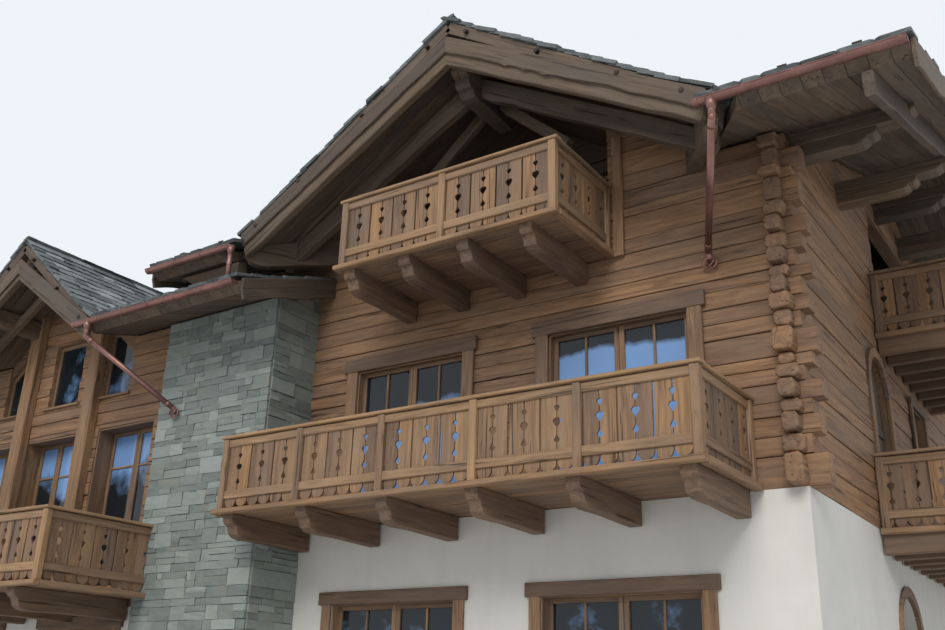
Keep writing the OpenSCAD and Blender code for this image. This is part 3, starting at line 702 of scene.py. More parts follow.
@dataclass(frozen=True)
class PlainFinish:
    """A finish of one colour that varies a little, read from the object's own place."""
    name: str
    colour: Colour
    other: Colour
    scale: float
    roughness: Pair
    depth: float = 0.0
    metallic: float = 0.0
    transmission: float = 0.0
    ior: float = 1.45
    weather: float = 0.0
    edge: float = 0.2
    toned: float = 0.0

    def build(self) -> bpy.types.Material:
        """Builds the material.

        Returns:
            The material.
        """
        material, desk, shader = open_material(self.name)
        place = desk.add("TexCoord").outputs["Object"]
        broad = desk.speckle(place, (self.scale,) * 3, 5, 0.6)
        fine = desk.speckle(place, (self.scale * 22,) * 3, 3, 0.6)
        mixed = broad
        # The piece's tone shifts the mix towards the second colour; on the glass this paints the
        # reflection.
        if self.toned:
            tone = desk.math("SUBTRACT", desk.attribute("tone", "Fac"), 0.5)
            mixed = desk.math("ADD", broad, desk.scaled(self.toned, tone))
        blend = desk.band(mixed, 0.5 - self.edge, 0.5 + self.edge)
        colour = desk.mix("MIX", blend, tint(*self.colour), tint(*self.other))
        if self.weather:
            runs = desk.band(desk.speckle(place, (3.0, 3.0, 0.35), 4, 0.6), 0.5, 0.8)
            colour = desk.mix("MULTIPLY", desk.scaled(runs, self.weather), colour,
                              (0.62, 0.60, 0.55, 1))
        low, high = self.roughness
        desk.settle(shader, Base_Color=colour, Roughness=desk.scaled(fine, high - low, low),
                    Metallic=self.metallic, Transmission_Weight=self.transmission, IOR=self.ior)
        if self.depth:
            desk.emboss(shader, desk.math("ADD", fine, broad), self.depth)
        return material


FINISHES = {
    Finish.LOGS: Wood("hewn_logs", (.66, .51, .375), (.43, .315, .22), (.52, .44, .37), .5, .008),
    Finish.BOARDS: Wood("aged_boards", (.62, .49, .37), (.415, .315, .235), (.51, .445, .385), .55),
    Finish.GOLDEN: Wood("golden_wood", (.68, .55, .415), (.49, .38, .275), (.55, .475, .40), .4),
    # The greyed boards are weathered grey wood, darkened further as painted shade for the verges
    # and beams that lie in shade.
    Finish.GREYED: Wood("greyed_boards", (.43, .365, .305), (.30, .245, .20), (.37, .34, .31), .6),
    # The shaded timber is the boards' wood darkened as painted shade, for the roof timbers, soffit
    # boards, recess linings and arched doors.
    Finish.SHADED: Wood("shaded_timber", (.46, .385, .32), (.29, .24, .195), (.39, .355, .32), .5),
    Finish.STONE: SplitStone("ledge_stone", (.61, .645, .63), (.42, .46, .45), (.55, .54, .47)),
    Finish.SLATE: SplitStone("split_slate", (.62, .65, .66), (.20, .23, .24), (.38, .39, .31)),
    Finish.PLASTER: PlainFinish("lime_plaster", (.855, .85, .83), (.81, .805, .785), .8,
                                (.78, .95), .002, weather=.18),
    Finish.COPPER: PlainFinish("copper_sheet", (.62, .455, .425), (.46, .335, .315), 2.0,
                               (.30, .48), .0008, metallic=.6, weather=.3),
    # The glass mixes a dark tone and a pale sky blue in noise patches and by each pane's tone:
    # painted sky reflection.
    Finish.GLASS: PlainFinish("window_glass", (.15, .18, .21), (.60, .78, 1.0), 1.0, (.02, .05),
                              transmission=.45, edge=.09, toned=.8),
    Finish.FLOOR: PlainFinish("cast_floor", (.66, .65, .63), (.58, .57, .55), 1.5, (.75, .95),
                              .002),
    Finish.IRON: PlainFinish("dark_iron", (.22, .20, .19), (.30, .25, .22), 6.0, (.4, .6), .0005,
                             metallic=.7),
}
MATERIALS: dict[Finish, bpy.types.Material] = {}


def dress_frame() -> None:
    """Builds every material and dresses the nodes of the frame that stay."""
    wood_group()
    stone_group()
    for finish, recipe in FINISHES.items():
        MATERIALS[finish] = recipe.build()
    inside = Wood("inner_floor", (.6, .45, .3), (.4, .28, .18), (.5, .4, .3), .2, .002,
                  own_grain=False).build()
    kept = {name: Finish.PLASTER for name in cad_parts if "plaster" in name}
    kept["ground_slab"] = Finish.FLOOR
    kept["stone_bay_wall"] = Finish.STONE
    for name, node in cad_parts.items():
        finish = kept.get(name)
        if finish is None and not name.endswith("floor_deck"):
            continue
        node.data.materials.clear()
        node.data.materials.append(inside if finish is None else MATERIALS[finish])


# Walls of logs


@dataclass(frozen=True)
class Gap:
    """An opening in a wall, along the wall and upwards."""
    start: float
    end: float
    low: float
    high: float

    @property
    def middle(self) -> float:
        """Its middle along the wall."""
        return (self.start + self.end) / 2

    @property
    def wide(self) -> float:
        """Its width."""
        return self.end - self.start

    @property
    def tall(self) -> float:
        """Its height."""
        return self.high - self.low


def gaps_about(middle: float, low: float, high: float, *spans: Pair) -> tuple[Gap, ...]:
    """Openings of one height, each given by its two ends from a middle."""
    return tuple(Gap(middle + a, middle + b, low, high) for a, b in spans)


def gaps_from(starts: Sequence[float], low: float, high: float) -> tuple[Gap, ...]:
    """Openings of a rear or left wall, each given by its start."""
    return tuple(Gap(start, start + REAR_W, low, high) for start in starts)


@dataclass(frozen=True)
class Band:
    """A height of wall that is cut by its own planes, such as the part inside a gable."""
    low: float
    high: float
    start: float
    end: float
    planes: tuple[Plane, ...] = ()


def course_lines(low: float, high: float) -> list[Pair]:
    """Gives the lower and upper joint of each course between two heights.

    Args:
        low: the lower height.
        high: the upper height.

    Returns:
        The two joints of each course.
    """
    lines, z = [], low
    while z < high:
        lines.append((z, z + COURSES[len(lines) % len(COURSES)]))
        z = lines[-1][1]
    return lines


@dataclass
class LogWall:
    """A wall of hewn logs, laid course by course and cut round its openings."""
    side: Side
    face: float
    base: float
    bands: tuple[Band, ...]
    gaps: tuple[Gap, ...] = ()
    thick: float = LOG_T
    ends: tuple[float, ...] = ()
    groove: float = 0.028

    def seam(self, x: float, z: float) -> float:
        """How far a joint wanders up or down at a place."""
        return 0.011 * noise.noise(Vector((x * 0.55, z * 5.3, self.face + self.side.value)))

    def log_part(self, x: Pair, z: Pair, out: float
                 ) -> Mesh:
        """Hews one length of log, whose outer face stands proud of a groove at each joint.

        Args:
            x: its ends along the wall.
            z: its lower and upper joint.
            out: how far its face stands out of the wall.

        Returns:
            The part, about the middle of its length and height.
        """
        length, tall = x[1] - x[0], z[1] - z[0]
        bm = block((length, self.thick - self.groove, tall))
        ops.translate(bm, vec=(0, (self.thick + self.groove) / 2, 0), verts=bm.verts)
        outer = min(bm.faces, key=lambda f: f.calc_center_median().y)
        ops.inset_individual(bm, faces=[outer], thickness=0.0045, use_even_offset=True)
        grown = ops.extrude_discrete_faces(bm, faces=[outer])["faces"][0]
        ops.translate(bm, vec=(0, -self.groove - out, 0), verts=grown.verts)
        lengthways = [e for e in bm.edges if span(e, 0) > length * 0.7]
        cuts = min(int(length / 0.35), 40)
        if cuts:
            ops.subdivide_edges(bm, edges=lengthways, cuts=cuts)
        wear(bm, [e for e in bm.edges if all(v.co.y < -out + 1e-4 for v in e.verts)
                  and span(e, 2) < 1e-5], 0.011, 2)
        middle, centre = (x[0] + x[1]) / 2, (z[0] + z[1]) / 2
        for v in bm.verts:
            place = v.co.x + middle
            share = v.co.z / tall + 0.5
            if v.co.y < self.groove * 0.5:
                v.co.y += 0.009 * noise.noise(Vector((place * 1.3, centre * 9, v.co.z * 3)))
            v.co.z += (1 - share) * self.seam(place, z[0]) + share * self.seam(place, z[1])
        return bm

    def lengths(self, band: Band, low: float, high: float, end: float
                ) -> list[tuple[float, float, float, float]]:
        """Splits one course at the openings.

        Args:
            band: the band that it lies in.
            low: its lower joint.
            high: its upper joint.
            end: how far it runs past the band's end.

        Returns:
            Each length as its two ends and its two joints.
        """
        near = sorted((g for g in self.gaps if g.low < high - 0.01 and g.high > low + 0.01),
                      key=lambda g: g.start)
        pieces, x = [], band.start
        for gap in near:
            if gap.start > x:
                pieces.append((x, gap.start, low, high))
            if gap.low > low + 0.02:
                pieces.append((gap.start, gap.end, low, gap.low))
            if gap.high < high - 0.02:
                pieces.append((gap.start, gap.end, gap.high, high))
            x = max(x, gap.end)
        if band.end + end > x:
            pieces.append((x, band.end + end, low, high))
        return pieces

    def lay(self, piece: Piece) -> None:
        """Lays every course into a piece.

        Args:
            piece: the piece that it joins.
        """
        frame_of_wall = self.side.place(self.face)
        for index, (low, high) in enumerate(course_lines(self.base, 12.0)):
            tone = piece.rng.uniform(.25, .7)
            for band in self.bands:
                bottom, top = max(low, band.low), min(high, band.high)
                if top - bottom < 0.015:
                    continue
                end = self.ends[index % len(self.ends)] if self.ends and index < 20 else 0.0
                for x0, x1, z0, z1 in self.lengths(band, bottom, top, end):
                    if x1 - x0 < 0.02:
                        continue
                    a, b = self.side.span(x0, x1)
                    part = self.log_part((a, b), (z0, z1), STAND_OUT[index % 7])
                    piece.add(part, frame_of_wall @ at((a + b) / 2, 0, (z0 + z1) / 2),
                              band.planes, tone + piece.rng.uniform(-0.12, 0.12))


WINDOWS_FIRST = gaps_about(AXIS_X, FIRST_FLOOR, 5.93, (-2.62, -.62), (.83, 2.89))
LOGGIA = Gap(AXIS_X - 1.78, AXIS_X + 1.78, SECOND_FLOOR, 14)
LOGGIA_DOOR = Gap(AXIS_X - 1.3, AXIS_X + 1.3, SECOND_FLOOR, 9.2)
SIDE_LOGGIA = Gap(4.75, 7.85, SECOND_FLOOR, 9.1)
SIDE_LOGGIA_DOOR = Gap(5.4, 7.2, SECOND_FLOOR, 8.9)
SIDE_WINDOW = Gap(6.25, 7.2, FIRST_FLOOR + .85, 6.05)
SIDE_GROUND_WINDOW = Gap(8.0, 9.6, 1.0, 2.4)
ARCH_GROUND = Gap(3.8, 5.0, 0.3, 2.72)
ARCH_FIRST = Gap(3.55, 4.6, FIRST_FLOOR, 6.25)
ARCH_HOLE_TOP = 6.45
REAR_X, REAR_W = (-7.2, -4.9, -1.9), 1.3
WING_WINDOWS = gaps_about(WING_X, WING_FLOOR, 5.5, (-2.75, -1.25), (-.9, .9), (1.25, 2.75))
WING_GABLE_WINDOWS = gaps_about(WING_X, 6.1, 7.35, (-1.9, -1.15), (-.45, .45), (1.15, 1.9))
WING_REAR_X, WING_LEFT_Y = (-15.3, -12.2), (1.2, 4.8)


def lay_logs(name: str, node: str, *walls: LogWall, finish: Finish = Finish.LOGS) -> None:
    """Lays log walls as one piece that stands for a node.

    Args:
        name: the piece's name.
        node: the node that it stands for.
        walls: the walls that it holds.
        finish: its finish.
    """
    piece = Piece(name, finish, (node,))
    for wall in walls:
        wall.lay(piece)
    piece.make()


@dataclass
class LogShell:
    """The log walls of the main block, with the crossed log ends of its front corner."""
    end_out: tuple[float, ...] = (.20, .13, .23, .15, .21)
    end_half: tuple[float, ...] = (.110, .135, .100, .125)
    past_corner: tuple[float, ...] = (.25, .09, .20, .13, .26, .07, .18)
    loggia_depth: float = 1.5
    side_loggia_depth: float = 1.3

    def front(self) -> None:
        """Lays the front wall, whose upper part stands inside the gable."""
        eave = MAIN.top(0) - ROOF_T
        inner = (GABLE.top(AXIS_X) - ROOF_T - eave) / GABLE_PITCH
        lay_logs("front_logs", "front_log_wall", LogWall(
            Side.FRONT, 0, LOG_BASE,
            (Band(LOG_BASE, eave, -BODY_W, 0.0, MAIN.planes()),
             Band(eave, NO_TOP, AXIS_X - inner, AXIS_X + inner, GABLE.planes())),
            WINDOWS_FIRST + (LOGGIA,), ends=self.past_corner))

    def others(self) -> None:
        """Lays the right, left and rear walls."""
        between = (Band(LOG_BASE, NO_TOP, LOG_T, BODY_D - LOG_T, MAIN.planes()),)
        across = (Band(LOG_BASE, NO_TOP, -BODY_W, .06, MAIN.planes()),)
        arch = Gap(ARCH_FIRST.start - .16, ARCH_FIRST.end + .16, ARCH_FIRST.low, ARCH_HOLE_TOP)
        for name, side, face, bands, gaps in (
                ("right", Side.RIGHT, 0, between, (arch, SIDE_WINDOW, SIDE_LOGGIA)),
                ("left", Side.LEFT, -BODY_W, between, ()),
                ("rear", Side.REAR, BODY_D, across, gaps_from(REAR_X, 4.55, 5.95))):
            lay_logs(name + "_logs", name + "_log_wall", LogWall(side, face, LOG_BASE, bands, gaps))

    def corner(self) -> None:
        """Sets the ends of the right wall's logs, which cross the front wall."""
        piece = Piece("corner_log_ends", Finish.LOGS, ("log_end_column",))
        for index, (low, high) in enumerate(course_lines(LOG_BASE, 12)[:20]):
            rng = piece.rng
            out = self.end_out[index % 5] + rng.uniform(-.03, .02)
            width = 2 * self.end_half[index % 4]
            part = timber((out + .02, width, (high - low) * rng.uniform(.86, .96)), rng,
                          wave=.022, chamfer=.040, step=.09)
            wear(part, [e for e in part.edges
                        if all(v.co.x < -out / 2 + .02 for v in e.verts)], .024, 2)
            lean = Matrix.Rotation(rng.uniform(-.07, .07), 4, "X")
            piece.add(part, at(-.1 + rng.uniform(-.012, .012), .01 - out / 2, (low + high) / 2)
                      @ INWARD @ lean, MAIN.planes(), rng.uniform(0, .55))
        piece.make()

    def loggias(self) -> None:
        """Lines the recess under the front gable and the one in the right wall."""
        left, right, start, end = LOGGIA.start, LOGGIA.end, SIDE_LOGGIA.start, SIDE_LOGGIA.end
        front, side = self.loggia_depth, self.side_loggia_depth
        for name, roof, walls in (
                ("loggia", GABLE, ((Side.RIGHT, left, LOG_T, front, ()),
                                   (Side.LEFT, right, LOG_T, front, ()),
                                   (Side.FRONT, front, left - .2, right + .2, (LOGGIA_DOOR,)))),
                ("side_loggia", MAIN, ((Side.REAR, start, -side, -LOG_T, ()),
                                       (Side.FRONT, end, -side, -LOG_T, ()),
                                       (Side.RIGHT, -side, start - .2, end + .2,
                                        (SIDE_LOGGIA_DOOR,))))):
            # The linings take the shaded timber: painted shade in the recesses.
            lay_logs(name + "_lining", name + "_walls", *(
                LogWall(way, face, SECOND_FLOOR,
                        (Band(SECOND_FLOOR, NO_TOP, first, last, roof.planes()),), gaps, .2)
                for way, face, first, last, gaps in walls), finish=Finish.SHADED)

    def wing(self) -> None:
        """Lays the upper walls of the wing."""
        low, under = WING_FLOOR - .3, WING.planes()
        eave = WING.top(WING_FRONT) - ROOF_T
        inner = (WING_RIDGE_Z - ROOF_T - eave) / WING_GABLE_PITCH
        piece = Piece("wing_front_logs", Finish.LOGS, ("wing_front_wall",))
        LogWall(Side.FRONT, WING_FRONT, low,
                (Band(low, eave, WING_LEFT, WING_RIGHT, under),
                 Band(eave, NO_TOP, WING_X - inner, WING_X + inner, WING_GABLE.planes())),
                WING_WINDOWS + WING_GABLE_WINDOWS, WING_T).lay(piece)
        for side, window in ((-1, WING_GABLE_WINDOWS[0]), (1, WING_GABLE_WINDOWS[2])):
            slope = WING_GABLE.plane(side, ROOF_T + .25)
            piece.hew((.75, WING_T - .02, .7), at(window.middle, WING_FRONT + WING_T / 2, 7.0),
                      (Plane(slope.point, -slope.normal),), **SAWN)
        piece.make()
        rear = WING_FRONT + WING_D
        for name, side, face, start, end, places in (
                ("rear", Side.REAR, rear, WING_LEFT, -BODY_W, WING_REAR_X),
                ("left", Side.LEFT, WING_LEFT, WING_FRONT + WING_T, rear - WING_T, WING_LEFT_Y)):
            lay_logs(f"wing_{name}_logs", f"wing_{name}_wall", LogWall(
                side, face, low, (Band(low, NO_TOP, start, end, under),),
                gaps_from(places, 3.6, 5.1), WING_T))
        piece = Piece("wing_gable_posts", Finish.BOARDS, ("wing_posts",))
        for side in SIDES:
            piece.hew((6.2, .2, .3), at(WING_X + side, WING_FRONT - .1, WING_FLOOR + 3.1) @ UPRIGHT,
                      WING_GABLE.planes(), .8, wave=.02, chamfer=.025)
        piece.make()

    def build(self) -> None:
        """Builds every log wall."""
        self.front()
        self.corner()
        self.others()
        self.loggias()
        self.wing()


# Roofs


@dataclass(frozen=True)
class Slope:
    """One slope of a roof, laid in rows from its eaves to its ridge."""
    name: str
    replaces: str
    pitch: Pitch
    side: int
    eave: float
    start: float
    end: float
    cuts: tuple[Plane, ...] = ()
    extra: Optional[Callable[[float, float], tuple[Plane, ...]]] = None

    def point(self, down: float, along: float, depth: float) -> Vector:
        """Point at a distance from the ridge, at a place along it, below the slates' tops.

        Args:
            down: level distance from the ridge.
            along: place along the ridge.
            depth: depth below the slates' tops.

        Returns:
            The point.
        """
        place = self.pitch.peak + self.side * down
        z = self.pitch.top(place) - depth
        return Vector((place, along, z) if self.pitch.axis == "x" else (along, place, z))

    @property
    def reach(self) -> float:
        """Level distance from the ridge to the eaves."""
        return abs(self.eave - self.pitch.peak)

    def turn(self) -> Matrix:
        """Turn whose x runs along the ridge, y up the slope and z out of it.

        Returns:
            The turn.
        """
        ridge = self.pitch.crest
        up = (self.point(0, 0, 0) - self.point(1, 0, 0)).normalized()
        out = ridge.cross(up)
        if out.z < 0:
            ridge, out = -ridge, -out
        return Matrix((ridge, up, out)).transposed().to_4x4()

    def planes(self, down: float, along: float) -> tuple[Plane, ...]:
        """Planes that cut whatever lies at a place."""
        return self.cuts + (self.extra(down, along) if self.extra else ())


@dataclass
class Slating:
    """Boards, slates and ridge caps that make up a roof."""
    exposure: float = 0.25
    slate: Pair = (0.24, 0.46)
    board: float = 0.24

    def boards(self, slope: Slope, piece: Piece) -> None:
        """Lays the roof boards, which run from the eaves to the ridge.

        Args:
            slope: the slope that it covers.
            piece: the piece that it joins.
        """
        turn = slope.turn()
        splay = Plane(slope.point(slope.reach, 0, .14),
                      (slope.pitch.way * slope.side * .6 - UP).normalized())
        x = slope.start
        while x < slope.end - 0.02:
            width = min(self.board, slope.end - x)
            low, high = (slope.point(down, x + width / 2, .2) for down in (slope.reach, 0))
            length = (high - low).length
            part = timber((length, width - .006, .17), piece.rng, wave=0, chamfer=.006, step=9)
            piece.add(part, Matrix.Translation((low + high) / 2) @ turn @ INWARD,
                      (*slope.planes(slope.reach / 2, x + width / 2),
                       Plane(slope.point(0, 0, .02), UP), splay), piece.rng.uniform(.1, .9))
            x += width

    def outer(self, slope: Slope, middle: float) -> bool:
        """Tells whether a slate lies at one of the slope's ends."""
        return min(middle - slope.start, slope.end - middle) < self.slate[1] * .6

    def slates(self, slope: Slope, piece: Piece) -> None:
        """Lays the slates in rows, each with its own width, thickness and broken edge.

        Args:
            slope: the slope that it covers.
            piece: the piece that it joins.
        """
        turn, rng = slope.turn(), piece.rng
        pitch, ridge = slope.pitch.stretch, slope.pitch.crest
        rows = int(slope.reach * pitch / self.exposure) + 1
        for row in range(rows):
            down = slope.reach - row * self.exposure / pitch
            ends = (Plane(ridge * (slope.start - rng.uniform(.0, .045)), -ridge),
                    Plane(ridge * (slope.end + rng.uniform(.0, .045)), ridge),
                    Plane(slope.point(0, 0, .004), UP))
            x = slope.start - rng.uniform(0, .3)
            while x < slope.end:
                width = rng.uniform(*self.slate)
                middle = x + width / 2
                x += width
                length = self.exposure * rng.uniform(1.45, 1.62)
                thick = rng.uniform(.018, .034)
                if row == 0 or self.outer(slope, middle):
                    thick += .024
                bm = block((width - .006, length, thick))
                wear(bm, [e for e in bm.edges if span(e, 2) > 1e-4 and e.verts[0].co.y < 0],
                     rng.uniform(.012, .07))
                for v in bm.verts:
                    if v.co.y < 0:
                        v.co.y += rng.uniform(-.012, .018)
                    v.co.z += rng.uniform(-.003, .003)
                lift = math.asin(.030 / length)
                lean = Matrix.Rotation(-lift, 4, "X") \
                    @ Matrix.Rotation(rng.uniform(-.02, .02), 4, "Y")
                over = .05 if row == 0 else .03
                centre = slope.point(down - (length / 2 - over) / pitch, middle,
                                     (.014, .034)[row] if row < 2 else .054)
                # Slates in the two lowest rows and at the slope's ends take a lower tone: painted
                # shade along the eaves and verges.
                piece.add(bm, Matrix.Translation(centre) @ turn @ lean,
                          slope.planes(down, middle) + ends,
                          rng.random() * (.42 if row < 2 or self.outer(slope, middle) else 1))

    def ridge(self, slope: Slope, piece: Piece, start: float, end: float) -> None:
        """Lays the ridge caps, pairs of long slates that lean on each other.

        Args:
            slope: the slope that it covers.
            piece: the piece that it joins.
            start: where the caps start.
            end: where they end.
        """
        turn, rng = slope.turn(), piece.rng
        x = start
        while x < end:
            width = min(rng.uniform(.45, .6), end - x + .01)
            part = timber((width, .26, .028), rng, wave=.003, chamfer=.004, step=.3)
            piece.add(part, Matrix.Translation(slope.point(.115, x + width / 2, .018)) @ turn
                      @ Matrix.Rotation(rng.uniform(0, .02), 4, "Y"),
                      (Plane(slope.point(0, 0, .001), UP),), rng.random())
            x += max(width - .02, .05)

    def lay(self, slope: Slope, cap: Optional[Pair] = None) -> None:
        """Finishes one slope as its boards and its slates.

        Args:
            slope: the slope that it covers.
            cap: where its ridge caps start and end, or None for no caps.
        """
        # The roof boards, seen from below as the soffit, take the shaded timber: painted shade.
        piece = Piece(slope.name + "_boards", Finish.SHADED, (slope.replaces,))
        self.boards(slope, piece)
        piece.make()
        piece = Piece(slope.name + "_slates", Finish.SLATE)
        self.slates(slope, piece)
        if cap:
            self.ridge(slope, piece, *cap)
        piece.make()


def valley(side: int, roof: Pitch, gable: Pitch, keep_gable: bool, gap: float) -> Plane:
    """Gives the upright plane over a valley between a gable and the slope behind it.

    Args:
        side: -1 or 1, the side of the gable.
        roof: the slopes behind the gable.
        gable: the gable's slopes.
        keep_gable: True to cut away what is outside the gable, False for what is inside.
        gap: how far the cut stays back from the valley.

    Returns:
        The plane.
    """
    out = Vector((side, roof.fall / gable.fall, 0)).normalized()
    return Plane(Vector((gable.peak, roof.peak, 0)) + out * (-gap if keep_gable else gap),
                 out if keep_gable else -out)


@dataclass
class Roofs:
    """Every slope of the main roof, its front gable and the wing."""
    slating: Slating = field(default_factory=Slating)

    def gable(self, name: str, node: str, roof: Pitch, gable: Pitch, side: int, half: float,
              out: float) -> None:
        """Roofs one slope of a gable, from its front edge back to the ridge behind it.

        Args:
            name: its name.
            node: the node that it stands for.
            roof: the slopes behind the gable.
            gable: the gable's slopes.
            side: -1 or 1, the side of the gable.
            half: level distance from the gable's ridge to its eaves.
            out: how far its front edge stands before the front wall.
        """
        slope = Slope(name, node, gable, side, gable.peak + side * half, -out, roof.peak,
                      (valley(side, roof, gable, True, .01),))
        self.slating.lay(slope, (-out - .02, roof.peak))

    def main_block(self) -> None:
        """Roofs the main block and its gable."""
        left, right = -BODY_W - LEFT_OUT, RIGHT_OUT
        for side, name, start, end in ((1, "right", AXIS_X, right), (-1, "left", left, AXIS_X)):
            cut = valley(side, MAIN, GABLE, False, .02)
            edge = Plane(Vector((AXIS_X + side * EAVE_HALF, 0, 0)), ALONG * -side)
            slope = Slope(f"front_roof_{name}", "main_roof_front", MAIN, -1, -EAVE_OUT, start, end,
                          extra=lambda down, x, cut=cut, edge=edge:
                          (edge,) if down > RIDGE_Y + 1.0 else (cut,))
            self.slating.lay(slope, (start, end))
            self.gable(f"gable_roof_{name}", f"gable_roof_{name}", MAIN, GABLE, side, GABLE_HALF,
                       GABLE_OUT)
        rear = Slope("rear_roof", "main_roof_rear", MAIN, 1, BODY_D + EAVE_OUT, left, right)
        self.slating.lay(rear, (left, right))

    def wing(self) -> None:
        """Roofs the wing, whose front slope ends against the main block."""
        wall = Plane(Vector((0, 0, 0)), ACROSS)
        for side, name, start, end in ((1, "right", WING_X, WING_ROOF_RIGHT),
                                       (-1, "left", WING_ROOF_LEFT, WING_X)):
            slope = Slope(f"wing_roof_{name}", "wing_roof_front", WING, -1, -WING_OUT, start, end,
                          (valley(side, WING, WING_GABLE, False, .02),),
                          lambda down, x: (wall,) if x > -BODY_W else ())
            self.slating.lay(slope, (start, min(end, -BODY_W)))
            self.gable(f"wing_gable_{name}", "wing_gable_roof", WING, WING_GABLE, side,
                       WING_GABLE_HALF, WING_OUT)
        rear = Slope("wing_rear_roof", "wing_roof_rear", WING, 1, WING_FRONT + WING_D + 1.0,
                     WING_ROOF_LEFT, -BODY_W)
        self.slating.lay(rear, (WING_ROOF_LEFT, -BODY_W))

    def build(self) -> None:
        """Builds every roof."""
        self.main_block()
        self.wing()


# Balconies


def heart(middle: float, tall: float, half: float) -> list[Pair]:
    """Half outline of a heart with its point down, as heights and depths, from the bottom."""
    return [(middle - .5 * tall, .006), (middle - .15 * tall, .72 * half),
            (middle + .1 * tall, half), (middle + .30 * tall, .85 * half),
            (middle + .44 * tall, .40 * half), (middle + .40 * tall, .006)]


def spade(middle: float, tall: float, half: float) -> list[Pair]:
    """Half outline of a drop with its point up, as heights and depths, from the bottom."""
    return [(middle - .5 * tall, .006), (middle - .46 * tall, .45 * half),
            (middle - .28 * tall, .92 * half), (middle - .1 * tall, half),
            (middle + .15 * tall, .55 * half), (middle + .5 * tall, .006)]


PLAIN_EDGE = [(.24, .013), (.96, .013)]
CUT_EDGE = [(.32, .010)] + spade(.475, .10, .040) + heart(.67, .125, .056) \
    + heart(.84, .085, .038) + [(.97, .010)]


